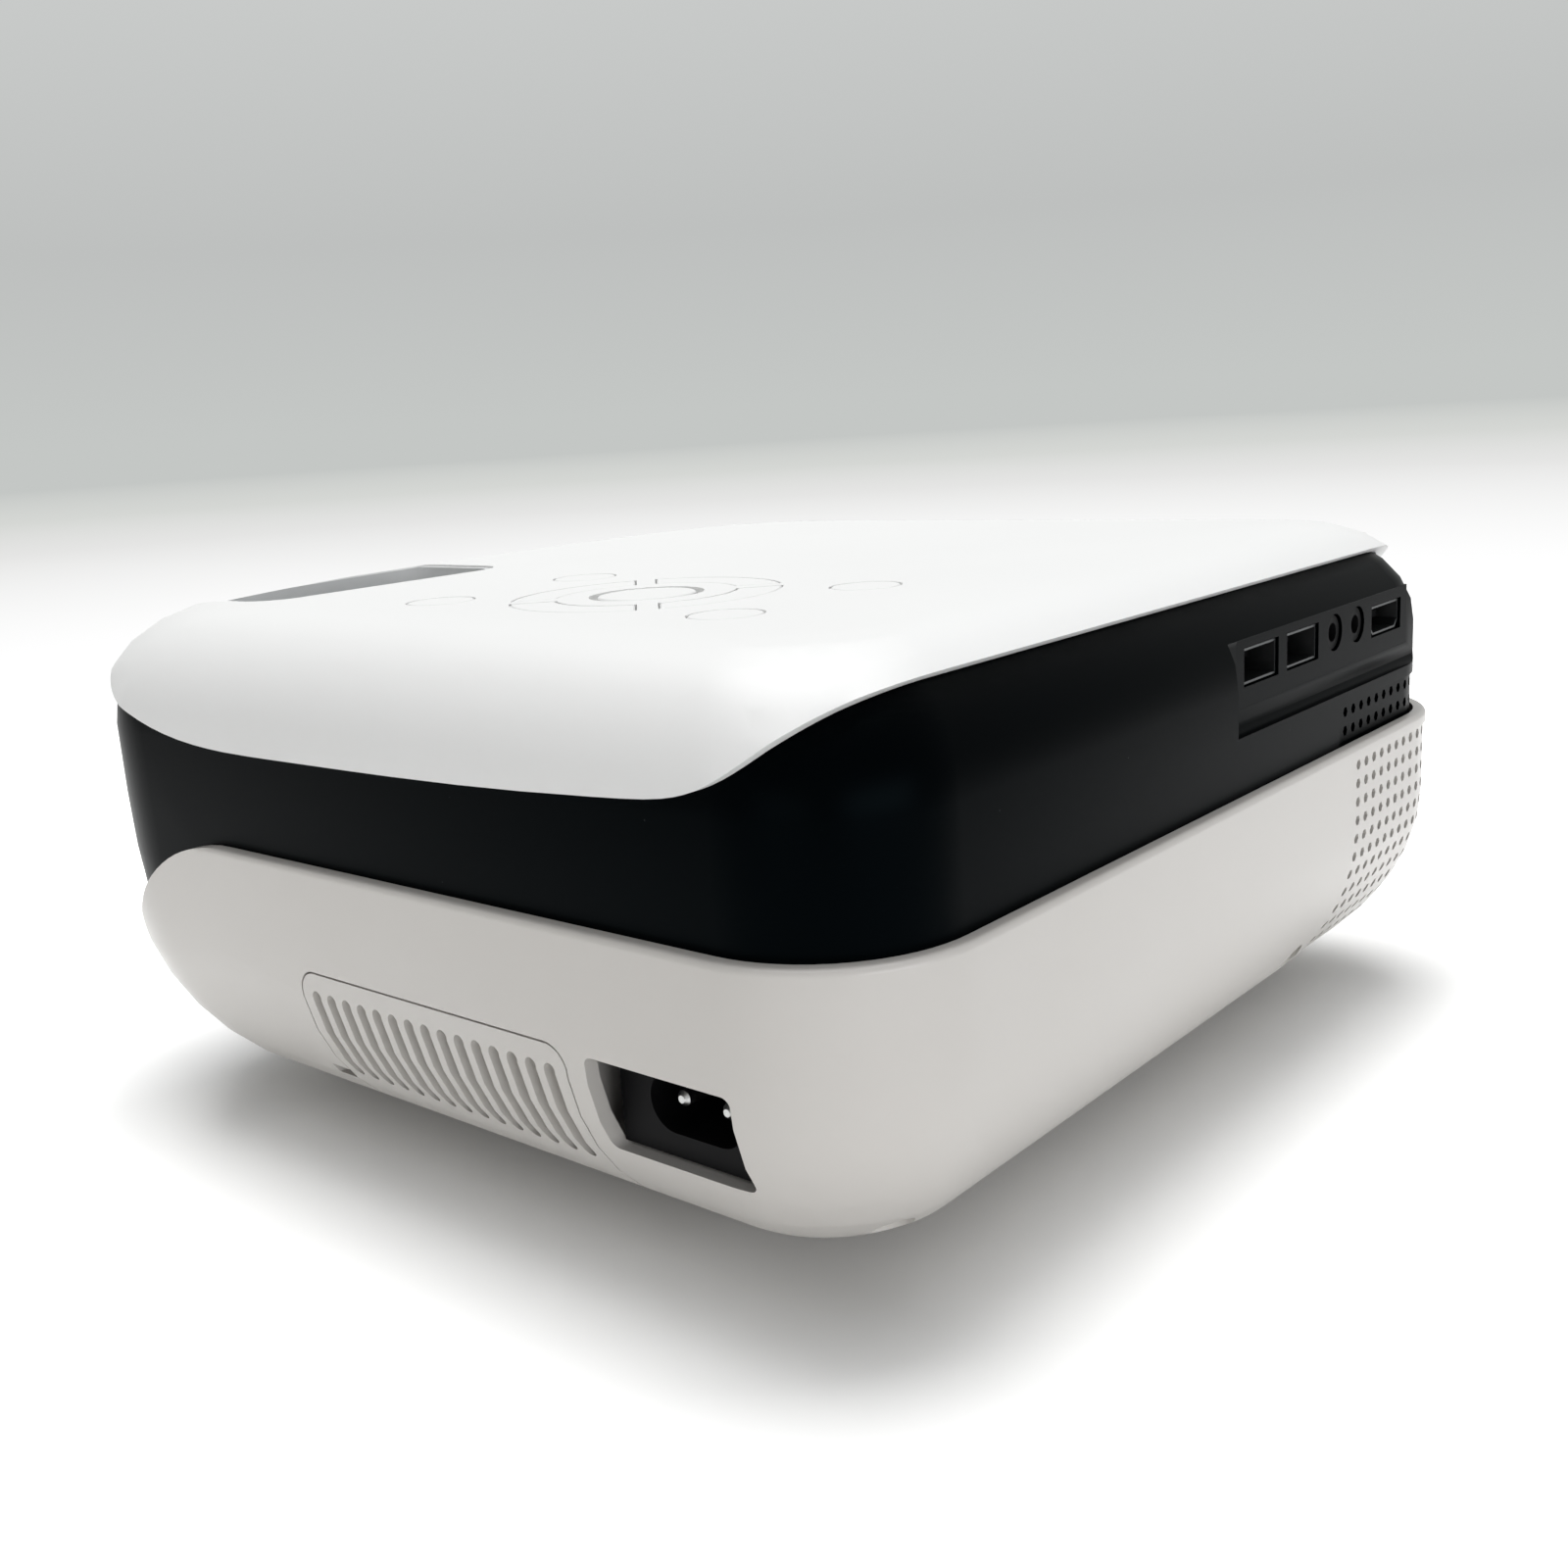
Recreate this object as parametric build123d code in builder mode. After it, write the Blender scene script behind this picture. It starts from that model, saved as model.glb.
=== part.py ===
from build123d import *
from math import cos, radians, sin, sqrt
import os

# A small LCD projector with a slide-out disc tray. Millimetres.
# +Z is up, -Y is the front with the lens, +Y the back with the sockets, +X the side with the
# filter cover and the mains inlet, -X the side with the disc tray.
# The origin is on the floor, under the middle of the housing.

# ---------------------------------------------------------------- housing: driving dimensions
width = 212.0
depth = 208.0
top_z = 98.0
foot_height = 4.5
lip_z = 59.0
shell_wall = 2.5
seam_gap = 0.25
back_corner_radius = 26.0
front_corner_radius = 38.0
front_bow = 9.0
corner_taper = 0.45
base_round = 38.0
top_round = 21.0
front_barrel_radius = 80.0
front_barrel_z = 64.0
lip_round = 1.1
base_steps = 9
barrel_steps = 2
top_steps = 6

half_width = width / 2
half_depth = depth / 2
base_centre_z = foot_height + base_round
top_centre_z = top_z - top_round
band_offset = shell_wall + seam_gap
band_inner_offset = band_offset + shell_wall
floor_z = foot_height + shell_wall
band_inner_x = half_width - band_inner_offset
cover_under_z = top_z - shell_wall
band_top_z = top_z - band_offset
reach = 2 * width


# ---------------------------------------------------------------- small helpers
def block(low, high, mode=Mode.ADD):
    """A block between two opposite corners."""
    sizes = [high[i] - low[i] for i in range(3)]
    middle = [(high[i] + low[i]) / 2 for i in range(3)]
    with Locations(tuple(middle)):
        Box(*sizes, mode=mode)


def rod(start, direction, length, radius, mode=Mode.ADD):
    """A round rod from a start point along a direction."""
    with Locations(Plane(origin=start, z_dir=direction)):
        Cylinder(radius, length, align=(Align.CENTER, Align.CENTER, Align.MIN), mode=mode)


def housing_section(z, side_in, front_in, curve_in):
    """Plan outline at height z: square back, bowed front, corners that tighten as it shrinks."""
    half = half_width - side_in
    back = half_depth - side_in
    front = front_in - half_depth
    tighten = corner_taper * curve_in + side_in - curve_in
    with BuildSketch(Plane.XY.offset(z)) as section:
        with BuildLine():
            ThreePointArc((-half, front + front_bow), (0, front), (half, front + front_bow))
            Polyline(
                (half, front + front_bow), (half, back), (-half, back), (-half, front + front_bow)
            )
        make_face()
        fillet(section.vertices().group_by(Axis.Y)[-1], back_corner_radius - tighten)
        fillet(section.vertices().group_by(Axis.Y)[0], front_corner_radius - tighten)
    return section.sketch


def barrel_in(z):
    """How far the barrel-shaped front leans in at height z."""
    drop = max(front_barrel_z - z, 0)
    return front_barrel_radius - sqrt(front_barrel_radius**2 - drop**2)


def envelope(offset):
    """The housing's whole outer form, moved inwards by offset: one ruled loft from base to top."""
    sections = []
    for step in range(base_steps, -1, -1):
        angle = radians(90 * step / base_steps)
        z = base_centre_z - (base_round - offset) * sin(angle)
        side_in = base_round - (base_round - offset) * cos(angle)
        sections.append(housing_section(z, side_in, offset + barrel_in(z), side_in - offset))
    for step in range(1, barrel_steps + 1):
        z = base_centre_z + (front_barrel_z - base_centre_z) * step / barrel_steps
        sections.append(housing_section(z, offset, offset + barrel_in(z), 0))
    for step in range(top_steps + 1):
        angle = radians(90 * step / top_steps)
        z = top_centre_z + (top_round - offset) * sin(angle)
        side_in = top_round - (top_round - offset) * cos(angle)
        sections.append(housing_section(z, side_in, side_in, side_in - offset))
    with BuildPart() as form:
        loft(sections=sections, ruled=True)
    return form.part


outer_form = envelope(0)
inner_form = envelope(shell_wall)
band_form = envelope(band_offset)
band_inner_form = envelope(band_inner_offset)


# ---------------------------------------------------------------- where the disc drive lies
drive_width = 128.0
drive_length = 123.6
drive_height = 12.8
drive_middle_y = 15.0
drive_base_z = 61.4
drive_sheet = 0.6
bezel_thickness = 2.6
mouth_gap = 0.5

drive_top_z = drive_base_z + drive_height
drive_low_y = drive_middle_y - drive_width / 2
drive_high_y = drive_middle_y + drive_width / 2
bezel_x = -(half_width - band_offset)
drive_mouth_x = bezel_x + bezel_thickness + mouth_gap
drive_end_x = drive_mouth_x + drive_length

# ---------------------------------------------------------------- lens axis and adjuster window
optic_x = 49.0
optic_z = 52.0
lens_opening_radius = 28.0
window_width = 60.0
window_length = 32.0
window_y = -71.0
window_radius = 8.0
window_gap = 0.2

# ---------------------------------------------------------------- control pad
pad_x = 50.5
pad_y = 17.5
ok_radius = 8.5
ok_gap = 1.5
arc_inner_radius = 15.7
arc_outer_radius = 23.3
arc_web = 4.0
round_key_radius = 5.9
round_key_dx = 17.5
round_key_dy = 34.0
key_gap = 0.3
key_flange = 0.8
key_flange_thickness = 1.0
key_travel = 0.6
key_clearance = 0.1
switch_height = 2.3
switch_size = 6.0
plunger_radius = 1.7
plunger_height = 0.7
key_post_dx = 24.4
key_post_dy = 40.8
key_post_radius = 2.2
key_chamfer = 0.25
key_stem_radius = 1.6
key_stem_z = 91.0
key_board_top_z = key_stem_z - key_travel - key_clearance - plunger_height - switch_height
key_board_width = 54.0
key_board_length = 88.0
round_key_places = {
    "power_button": (pad_x - round_key_dx, pad_y + round_key_dy),
    "source_button": (pad_x + round_key_dx, pad_y + round_key_dy),
    "menu_button": (pad_x - round_key_dx, pad_y - round_key_dy),
    "back_button": (pad_x + round_key_dx, pad_y - round_key_dy),
}
arc_key_angles = {"key_left": 0, "key_down": 90, "key_right": 180, "key_up": 270}

# ---------------------------------------------------------------- side openings
vent_low_y = -16.5
vent_high_y = 48.6
vent_top_z = 40.7
vent_base_angle = 65.0
vent_seam = 0.35
slot_count = 15
slot_pitch = 4.12
slot_width = 2.4
slot_low_z = 20.0
slot_high_z = 37.5
notch_length = 5.0
notch_height = 2.0
inlet_low_y = 52.9
inlet_high_y = 80.5
inlet_low_z = 24.8
inlet_high_z = 40.4
inlet_corner = 1.5

# ---------------------------------------------------------------- back openings
port_recess_low_x = -2.3
port_recess_low_z = 69.0
port_recess_high_z = 86.0
port_recess_depth = 2.2
port_recess_round = 2.0
port_wall = 2.6
port_panel_low_x = -85.5
port_panel_high_x = -6.0
port_panel_low_z = 73.0
port_panel_high_z = 84.9
usb_places = (-16.2, -33.8)
hdmi_place = -74.5
jack_places = (-48.4, -59.4)
patch_low_x = -100.0
patch_high_x = -46.0
patch_low_z = 54.0
patch_high_z = 66.8
patch_corner = 3.0
grille_low_x = -101.0
grille_high_x = -45.0
grille_low_z = 11.0
grille_high_z = 56.6
grille_seam = 0.15
grille_step = 0.5
hole_pitch_x = 3.92
hole_pitch_z = 3.65
hole_radius = 1.05
hole_sides = 6
grille_columns = 13
grille_rows = 11
grille_first_x = -49.8
grille_first_z = 55.0

# ---------------------------------------------------------------- fastenings and feet
post_radius = 4.5
post_split_z = 50.0
screw_seat_z = 44.0
screw_radius = 1.5
screw_head_radius = 2.9
screw_head_height = 2.0
screw_tip_z = 55.0
screw_clearance = 0.2
counterbore_radius = 3.4
case_posts = (
    ((82.0, 88.0), (1, 0)),
    ((-38.0, 94.0), (0, 1)),
    ((90.0, -58.0), (1, 0)),
    ((-90.0, -58.0), (-1, 0)),
)
boss_top_z = 57.5
foot_radius = 8.0
foot_recess = 0.5
foot_places = ((56.0, 50.0), (-56.0, 50.0), (56.0, -46.0), (-56.0, -46.0))
levelling_y = -62.0
stud_radius = 4.0
stud_gap = 0.05
stud_top_z = 27.0
knob_radius = 9.0
knob_flutes = 12
flute_radius = 0.9
knob_floor_gap = 0.5
knob_shell_gap = 0.2
levelling_boss_top_z = 20.0
tripod_bore_radius = 2.55
tripod_insert_radius = 4.5
tripod_length = 9.0
tripod_boss_radius = 7.0
drive_post_radius = 4.0
drive_posts = ((-86.0, -44.0), (-92.0, 64.0), (15.0, -44.0), (15.0, 72.0))

# ---------------------------------------------------------------- more of the housing
vent_corner = 4.0
grille_front_y = 80.0
patch_rows = 3
filter_x = 92.0
filter_margin = 1.5
filter_low_z = 19.0
filter_wall = 1.2
gusset = 2.4
screw_fit = 0.05
screw_end_gap = 1.0
rim_half_width = 79.0
rim_half_depth = 76.0
rim_radius = 10.0
lens_cut_y = -80.0
ir_x = -30.0
ir_z = 66.0
ir_width = 16.0
ir_height = 9.0
ir_gap = 0.15
bezel_lip = 3.8
bezel_flare = 2.8
bezel_back_y = -85.2
press_gap = 0.02
snap_thickness = 1.6
snap_width = 10.0
snap_low_z = 90.6
snap_places = (-40.0, 0.0, 50.0)
bezel_wall = 1.6
bezel_floor_z = 81.6
bezel_tab = 1.6
bezel_tab_thickness = 1.2
bezel_tab_width = 10.0
bezel_tab_spread = 18.0
bezel_clearance = 0.4
window_sink = 0.4

# ---------------------------------------------------------------- sockets on the main board
usb_width = 13.4
usb_height = 6.2
usb_depth = 14.0
hdmi_width = 15.0
hdmi_height = 5.6
hdmi_depth = 12.0
socket_sheet = 0.4
socket_gap = 0.3
socket_sink = 0.5
jack_width = 9.0
jack_height = 7.0
jack_depth = 12.0
jack_nose_radius = 3.2
jack_bore_radius = 1.8
jack_bore_depth = 13.0
usb_tongue = (11.2, 9.0, 1.9)
hdmi_tongue = (11.2, 8.0, 1.4)
tongue_drop = 0.9
hdmi_corner = 1.6
board_thickness = 1.6
drive_dimple_radius = 3.0
drive_dimple_height = 1.0
board_top_z = drive_top_z + drive_dimple_height + board_thickness
main_board_low_x = -86.0
main_board_high_x = 8.0
main_board_low_y = -20.0
chips = (
    ((-34.0, 24.0), (23.0, 23.0, 2.2)),
    ((-62.0, 22.0), (14.0, 10.0, 1.2)),
    ((-8.0, 18.0), (10.0, 14.0, 1.2)),
    ((-34.0, 56.0), (12.0, 12.0, 1.6)),
)
drive_dimples = ((-70.0, -10.0), (-70.0, 68.0), (0.0, -10.0), (0.0, 68.0))

# ---------------------------------------------------------------- mains inlet and power board
inlet_face_x = 99.5
inlet_depth = 13.6
inlet_gap = 0.5
inlet_pin_pitch = 8.6
inlet_pin_radius = 1.18
inlet_pin_inset = 1.5
inlet_cavity_width = 9.2
inlet_cavity_depth = 12.0
inlet_tab = 6.0
inlet_shift_y = 1.6
inlet_shift_z = 0.9
power_board_low = (-48.0, 20.0)
power_board_high = (8.0, 84.0)
power_board_z = 13.0
power_post_radius = 3.0
power_board_posts = ((-43.0, 25.0), (-43.0, 79.0), (3.0, 25.0), (3.0, 79.0))
transformer_place = (-20.0, 58.0)
transformer_size = (24.0, 20.0, 18.0)
capacitor_places = ((-34.0, 36.0), (-8.0, 36.0))
capacitor_radius = 8.0
capacitor_height = 24.0

# ---------------------------------------------------------------- fans and speaker
fan_size = 50.0
fan_thickness = 10.0
fan_bore_radius = 23.6
fan_hub_radius = 11.0
fan_blade_radius = 22.4
fan_blade_chord = 10.0
fan_blade_root = 1.5
fan_blade_count = 7
fan_blade_thickness = 1.4
fan_blade_pitch = 35.0
fan_strut = 3.0
fan_floor = 2.0
fan_pin_radius = 1.5
fan_pin_length = 6.0
fan_screw_radius = 1.8
fan_screw_spread = 20.0
fan_running_gap = 0.05
fan_end_gap = 0.4
fan_middle_y = 16.0
intake_fan_x = 73.0
intake_fan_z = 37.5
exhaust_fan_x = -82.0
exhaust_fan_z = 35.8
speaker_x = -71.0
speaker_z = 39.0
speaker_size = 36.0
speaker_gap = 0.2
speaker_corner = 5.0
speaker_front_y = 88.0
speaker_back_y = 70.0
speaker_flange = 2.4
speaker_cone_depth = 9.6
speaker_magnet_depth = 6.0
speaker_cone_radius = 16.0
speaker_magnet_radius = 11.0

# ---------------------------------------------------------------- optics
housing_bore_radius = 23.1
housing_outer_radius = 25.4
lens_slide_gap = 0.05
barrel_front_y = -88.0
barrel_back_y = -56.0
collar_radius = 27.5
ring_outer_radius = 31.5
ring_running_gap = 0.06
ring_width = 7.0
ring_side_gap = 0.3
focus_ring_y = -77.0
keystone_ring_y = -64.0
ring_grooves = 30
ring_groove_depth = 0.9
ring_groove_sides = 4
housing_front_y = -85.0
housing_collar_back_y = -57.0
housing_back_y = -50.0
flange_thickness = 3.0
flange_width = 48.0
flange_height = 54.0
tunnel_size = 46.0
tunnel_wall = 2.0
tunnel_end_y = 46.0
tunnel_vent = (12.0, 26.0)
tunnel_vent_places = (-30.0, 14.0)
tunnel_leg = (34.0, 5.0)
tunnel_leg_places = (-28.0, 34.0)
lcd_y = -6.0
lcd_width = 40.0
lcd_height = 31.0
lcd_thickness = 3.0
lcd_frame = 2.5
lcd_recess = 0.6
lcd_pin_radius = 1.2
lcd_pin_gap = 0.05
fresnel_places = (-24.0, 12.0)
fresnel_thickness = 1.8
optic_side_gap = 0.2
condenser_y = 26.0
condenser_edge = 3.0
condenser_crown = 7.0
condenser_radius = 19.0
front_lens_y = -80.0
front_lens_radius = 21.0
rear_lens_y = -63.0
rear_lens_radius = 19.0
lens_seat_gap = 0.05
lens_edge = 3.0
lens_rim = 3.0
crown_steps = 2
lens_front_crown = 3.4
lens_back_crown = 1.6
lens_shoulder_radius = 18.2
led_board_size = 44.0
led_board_thickness = 2.0
led_size = 14.0
led_height = 1.0
sink_base = 5.0
sink_depth = 30.0
sink_size = 48.0
sink_fins = 11
sink_fin_thickness = 1.4

# ---------------------------------------------------------------- disc drive
rail_thickness = 2.6
rail_height = 6.6
rail_length = 116.0
rail_side_gap = 0.1
rail_floor_gap = 0.05
rail_groove_depth = 1.3
rail_groove_height = 2.2
rail_start = 2.0
tongue_gap = 0.2
tongue_width = 2.4
tray_rail_gap = 0.3
tray_length = 123.0
tray_half_width = 63.0
tray_top_z = drive_base_z + 10.6
tray_flange_z = drive_base_z + 7.8
tray_low_z = drive_base_z + 2.6
tray_plate_z = drive_base_z + 7.3
tray_wall = 1.8
tray_rim = 0.9
tray_corner = 4.0
disc_radius = 60.0
disc_clearance = 0.6
disc_well_depth = 1.7
hub_window_radius = 17.0
sled_window_width = 26.0
sled_window_end = 57.0
sled_window_corner = 3.0
small_disc_radius = 40.5
small_disc_depth = 0.5
motor_radius = 11.5
motor_height = 4.0
motor_floor = 0.5
traverse_z = drive_base_z + 1.5
traverse_thickness = 1.0
traverse_low = -20.0
traverse_high = 60.0
traverse_half_width = 24.0
traverse_opening = (18.0, 56.0, 11.0)
traverse_post_radius = 2.2
traverse_posts = ((-16.0, 21.5), (-16.0, -21.5), (56.0, 21.5), (56.0, -21.5))
turntable_radius = 14.0
turntable_gap = 0.4
turntable_height = 2.8
hub_radius = 7.4
hub_height = 1.9
hub_chamfer = 0.8
hub_shaft_radius = 1.0
hub_shaft_gap = 0.05
sled_length = 10.0
sled_width = 36.0
sled_low_z = drive_base_z + 4.2
sled_height = 2.6
sled_head_length = 8.0
sled_head_width = 20.0
sled_head_height = 1.9
sled_start = 23.0
sled_lens_radius = 2.6
sled_lens_height = 0.6
rod_radius = 1.2
rod_gap = 0.05
rod_spread = 15.5
rod_start = 14.0
rod_end = 59.0
rod_block = 2.0
rod_block_width = 5.0
bezel_edge = 0.5
eject_width = 9.0
eject_height = 3.2
eject_gap = 0.25
eject_proud = 0.3
eject_offset_y = 38.0
eject_flange = 0.6
eject_flange_thickness = 0.8
eject_z = drive_base_z + 4.9
pinhole_radius = 0.6
pinhole_offset_y = 26.0

disc_x = bezel_x + bezel_thickness + tray_rim + disc_clearance + disc_radius
tray_front_x = bezel_x + bezel_thickness

# ---------------------------------------------------------------- shared profiles
wing_radius = 40.0
wing_y = -37.0
band_overlap = 7.0


def wing_profile(inset):
    """Side view of the lower shell: level lip, then a full-round end above the front edge."""
    top = lip_z - inset
    radius = wing_radius - inset
    front = wing_y - radius
    centre_z = top - radius
    with BuildSketch(Plane.YZ) as profile:
        with BuildLine():
            Polyline((wing_y, top), (reach, top), (reach, -reach), (front, -reach), (front, centre_z))
            RadiusArc((front, centre_z), (wing_y, top), radius)
        make_face()
    return profile.sketch


# Height of the top cover's lower edge along the side: back edge, side apron, front edge.
apron_points = (
    (half_depth + 4, 93.6),
    (96.0, 93.2),
    (88.0, 88.2),
    (80.0, 82.4),
    (64.0, 79.2),
    (35.0, 77.8),
    (-15.0, 77.0),
    (-55.0, 79.6),
    (-72.0, 85.2),
    (-84.0, 90.6),
    (-half_depth - 4, 92.4),
)


def apron_profile():
    """Side view of everything above the top cover's lower edge."""
    with BuildSketch(Plane.YZ) as profile:
        with BuildLine() as edge:
            Spline(*apron_points)
            Polyline(
                apron_points[-1], (apron_points[-1][0], reach), (apron_points[0][0], reach), apron_points[0]
            )
        make_face()
    return profile.sketch


def arc_key_outline(angle, grow, z):
    """One quarter of the key ring, turned to its angle, with a straight web left between keys."""
    apex = (arc_web / 2 - grow) * sqrt(2)
    span = 2 * arc_outer_radius
    with BuildSketch(Plane.XY.offset(z)) as outline:
        with Locations((pad_x, pad_y)):
            Circle(arc_outer_radius + grow)
            Circle(arc_inner_radius - grow, mode=Mode.SUBTRACT)
        with Locations(Location((pad_x, pad_y, 0), (0, 0, angle))):
            Polygon((apex, 0), (apex + span, -span), (apex + span, span), align=None, mode=Mode.INTERSECT)
    return outline.sketch


def vent_block(seam):
    """The block that fills a vent window in the +X side wall, grown by a seam gap."""
    slope = radians(vent_base_angle)
    centre_x = half_width - base_round
    far = 2 * base_round
    top = vent_top_z + seam
    along = (base_centre_z - top - seam * cos(slope)) / sin(slope)
    start_x = centre_x + along * cos(slope) - seam * sin(slope)
    end_x = centre_x + far * cos(slope) - seam * sin(slope)
    end_z = base_centre_z - far * sin(slope) - seam * cos(slope)
    with BuildPart() as form:
        with BuildSketch(Plane.XZ.offset(-vent_high_y - seam)):
            with BuildLine():
                Polyline(
                    (start_x, top), (centre_x + far, top), (centre_x + far, end_z), (end_x, end_z), close=True
                )
            make_face()
        extrude(amount=vent_high_y - vent_low_y + 2 * seam)
        fillet(form.edges().filter_by(Axis.X).group_by(Axis.Z)[-1], vent_corner + seam)
    return form.part


def vent_slots():
    """The row of slots, as one cutter through the +X side wall."""
    with BuildPart() as form:
        with BuildSketch(Plane.YZ.offset(half_width / 2)):
            with Locations(((vent_low_y + vent_high_y) / 2, (slot_low_z + slot_high_z) / 2)):
                with GridLocations(slot_pitch, slot_pitch, slot_count, 1):
                    SlotOverall(slot_high_z - slot_low_z, slot_width, rotation=90)
        extrude(amount=half_width)
    return form.part


def grille_block(gap):
    """The block that fills the grille window in the back of the lower shell."""
    with BuildPart() as form:
        block(
            (grille_low_x + gap, grille_front_y + gap, grille_low_z + gap),
            (grille_high_x - gap, reach, grille_high_z - gap),
        )
    return form.part


def patch_block(gap):
    """The block that fills the perforated patch in the back of the band: round upper corners."""
    with BuildPart() as form:
        with BuildSketch(Plane.XZ.offset(-reach)):
            with Locations(((patch_low_x + patch_high_x) / 2, (patch_low_z + patch_high_z) / 2)):
                Rectangle(patch_high_x - patch_low_x - 2 * gap, patch_high_z - patch_low_z - 2 * gap)
        extrude(amount=reach - grille_front_y)
        fillet(form.edges().filter_by(Axis.Y).group_by(Axis.Z)[-1], patch_corner - gap)
    return form.part


def port_panel_block(gap, back_y):
    """The plate that carries the socket holes, set into the floor of the port recess."""
    with BuildPart() as form:
        block(
            (port_panel_low_x + gap, port_plane_y - port_wall, port_panel_low_z + gap),
            (port_panel_high_x - gap, back_y, port_panel_high_z - gap),
        )
    return form.part


def perforations(first_x, first_z, columns, rows):
    """A field of through holes along Y, as one cutter. Few-sided, because they are many."""
    middle_x = first_x - hole_pitch_x * (columns - 1) / 2
    middle_z = first_z - hole_pitch_z * (rows - 1) / 2
    with BuildPart() as form:
        with BuildSketch(Plane.XZ.offset(-reach)):
            with Locations((middle_x, middle_z)):
                with GridLocations(hole_pitch_x, hole_pitch_z, columns, rows):
                    RegularPolygon(hole_radius, hole_sides)
        extrude(amount=reach - grille_front_y)
    return form.part


# ---------------------------------------------------------------- lower shell
near_vent_window = vent_block(vent_seam)
far_vent_window = mirror(vent_block(vent_seam), about=Plane.YZ)
port_plane_y = half_depth - band_offset - port_recess_depth

with BuildPart() as lower_posts:
    for (x, y), _ in case_posts:
        rod((x, y, 0), (0, 0, 1), post_split_z, post_radius)
    for x, y in drive_posts:
        rod((x, y, 0), (0, 0, 1), drive_base_z, drive_post_radius)
    for x, y in power_board_posts:
        rod((x, y, 0), (0, 0, 1), power_board_z, power_post_radius)
    rod((0, levelling_y, 0), (0, 0, 1), levelling_boss_top_z, tripod_boss_radius)
    rod((0, 0, 0), (0, 0, 1), foot_height + tripod_length + shell_wall, tripod_boss_radius)
    for y in (fan_middle_y - fan_size / 4, fan_middle_y + fan_size / 4):
        block(
            (intake_fan_x, y - shell_wall / 2, 0),
            (intake_fan_x + fan_thickness, y + shell_wall / 2, intake_fan_z - fan_size / 2),
        )
        block(
            (exhaust_fan_x, y - shell_wall / 2, 0),
            (exhaust_fan_x + fan_thickness, y + shell_wall / 2, exhaust_fan_z - fan_size / 2),
        )
    block(
        (inlet_face_x - inlet_depth, inlet_low_y + shell_wall, 0),
        (inlet_face_x - shell_wall, inlet_high_y - shell_wall, inlet_low_z + inlet_gap),
    )
    add(outer_form, mode=Mode.INTERSECT)

with BuildPart() as speaker_ribs:
    for side in (-1, 1):
        rib_x = speaker_x + side * (speaker_size / 2 + speaker_gap + shell_wall / 2)
        block(
            (rib_x - shell_wall / 2, speaker_back_y, 0),
            (rib_x + shell_wall / 2, reach, lip_z - band_overlap - seam_gap),
        )
    block(
        (
            speaker_x - speaker_size / 2 - speaker_gap,
            speaker_front_y - 2 * speaker_flange,
            speaker_z - speaker_size / 2 - shell_wall,
        ),
        (
            speaker_x + speaker_size / 2 + speaker_gap,
            speaker_front_y,
            speaker_z - speaker_size / 2,
        ),
    )
    add(band_form, mode=Mode.INTERSECT)

with BuildPart() as speaker_rib_feet:
    for side in (-1, 1):
        rib_x = speaker_x + side * (speaker_size / 2 + speaker_gap + shell_wall / 2)
        block(
            (rib_x - shell_wall / 2, speaker_back_y, 0),
            (rib_x + shell_wall / 2, grille_front_y, grille_low_z),
        )
    add(outer_form, mode=Mode.INTERSECT)

with BuildPart() as lower_shell:
    add(outer_form)
    block((-reach, -reach, lip_z), (reach, reach, reach), mode=Mode.SUBTRACT)
    fillet(lower_shell.faces().sort_by(Axis.Z)[-1].outer_wire().edges(), lip_round)
    add(inner_form, mode=Mode.SUBTRACT)
    extrude(wing_profile(0), amount=reach, both=True, mode=Mode.INTERSECT)
    add(lower_posts.part)
    add(near_vent_window, mode=Mode.SUBTRACT)
    add(far_vent_window, mode=Mode.SUBTRACT)
    add(grille_block(0), mode=Mode.SUBTRACT)
    add(speaker_ribs.part)
    add(speaker_rib_feet.part)
    with BuildSketch(Plane.YZ.offset(inlet_face_x - inlet_depth)):
        with Locations(((inlet_low_y + inlet_high_y) / 2, (inlet_low_z + inlet_high_z) / 2)):
            RectangleRounded(inlet_high_y - inlet_low_y, inlet_high_z - inlet_low_z, inlet_corner)
    extrude(amount=half_width, mode=Mode.SUBTRACT)
    block(
        (half_width / 2, vent_low_y - vent_seam - notch_length, slot_low_z - notch_height),
        (reach, vent_low_y, slot_low_z),
        mode=Mode.SUBTRACT,
    )
    for (x, y), _ in case_posts:
        rod((x, y, 0), (0, 0, 1), screw_seat_z, counterbore_radius, mode=Mode.SUBTRACT)
        rod((x, y, 0), (0, 0, 1), post_split_z, screw_radius + screw_clearance, mode=Mode.SUBTRACT)
    for x, y in foot_places:
        rod((x, y, 0), (0, 0, 1), foot_height + foot_recess, foot_radius, mode=Mode.SUBTRACT)
    rod((0, levelling_y, 0), (0, 0, 1), reach, stud_radius + stud_gap, mode=Mode.SUBTRACT)
    rod((0, 0, 0), (0, 0, 1), foot_height + tripod_length, tripod_insert_radius, mode=Mode.SUBTRACT)

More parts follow.
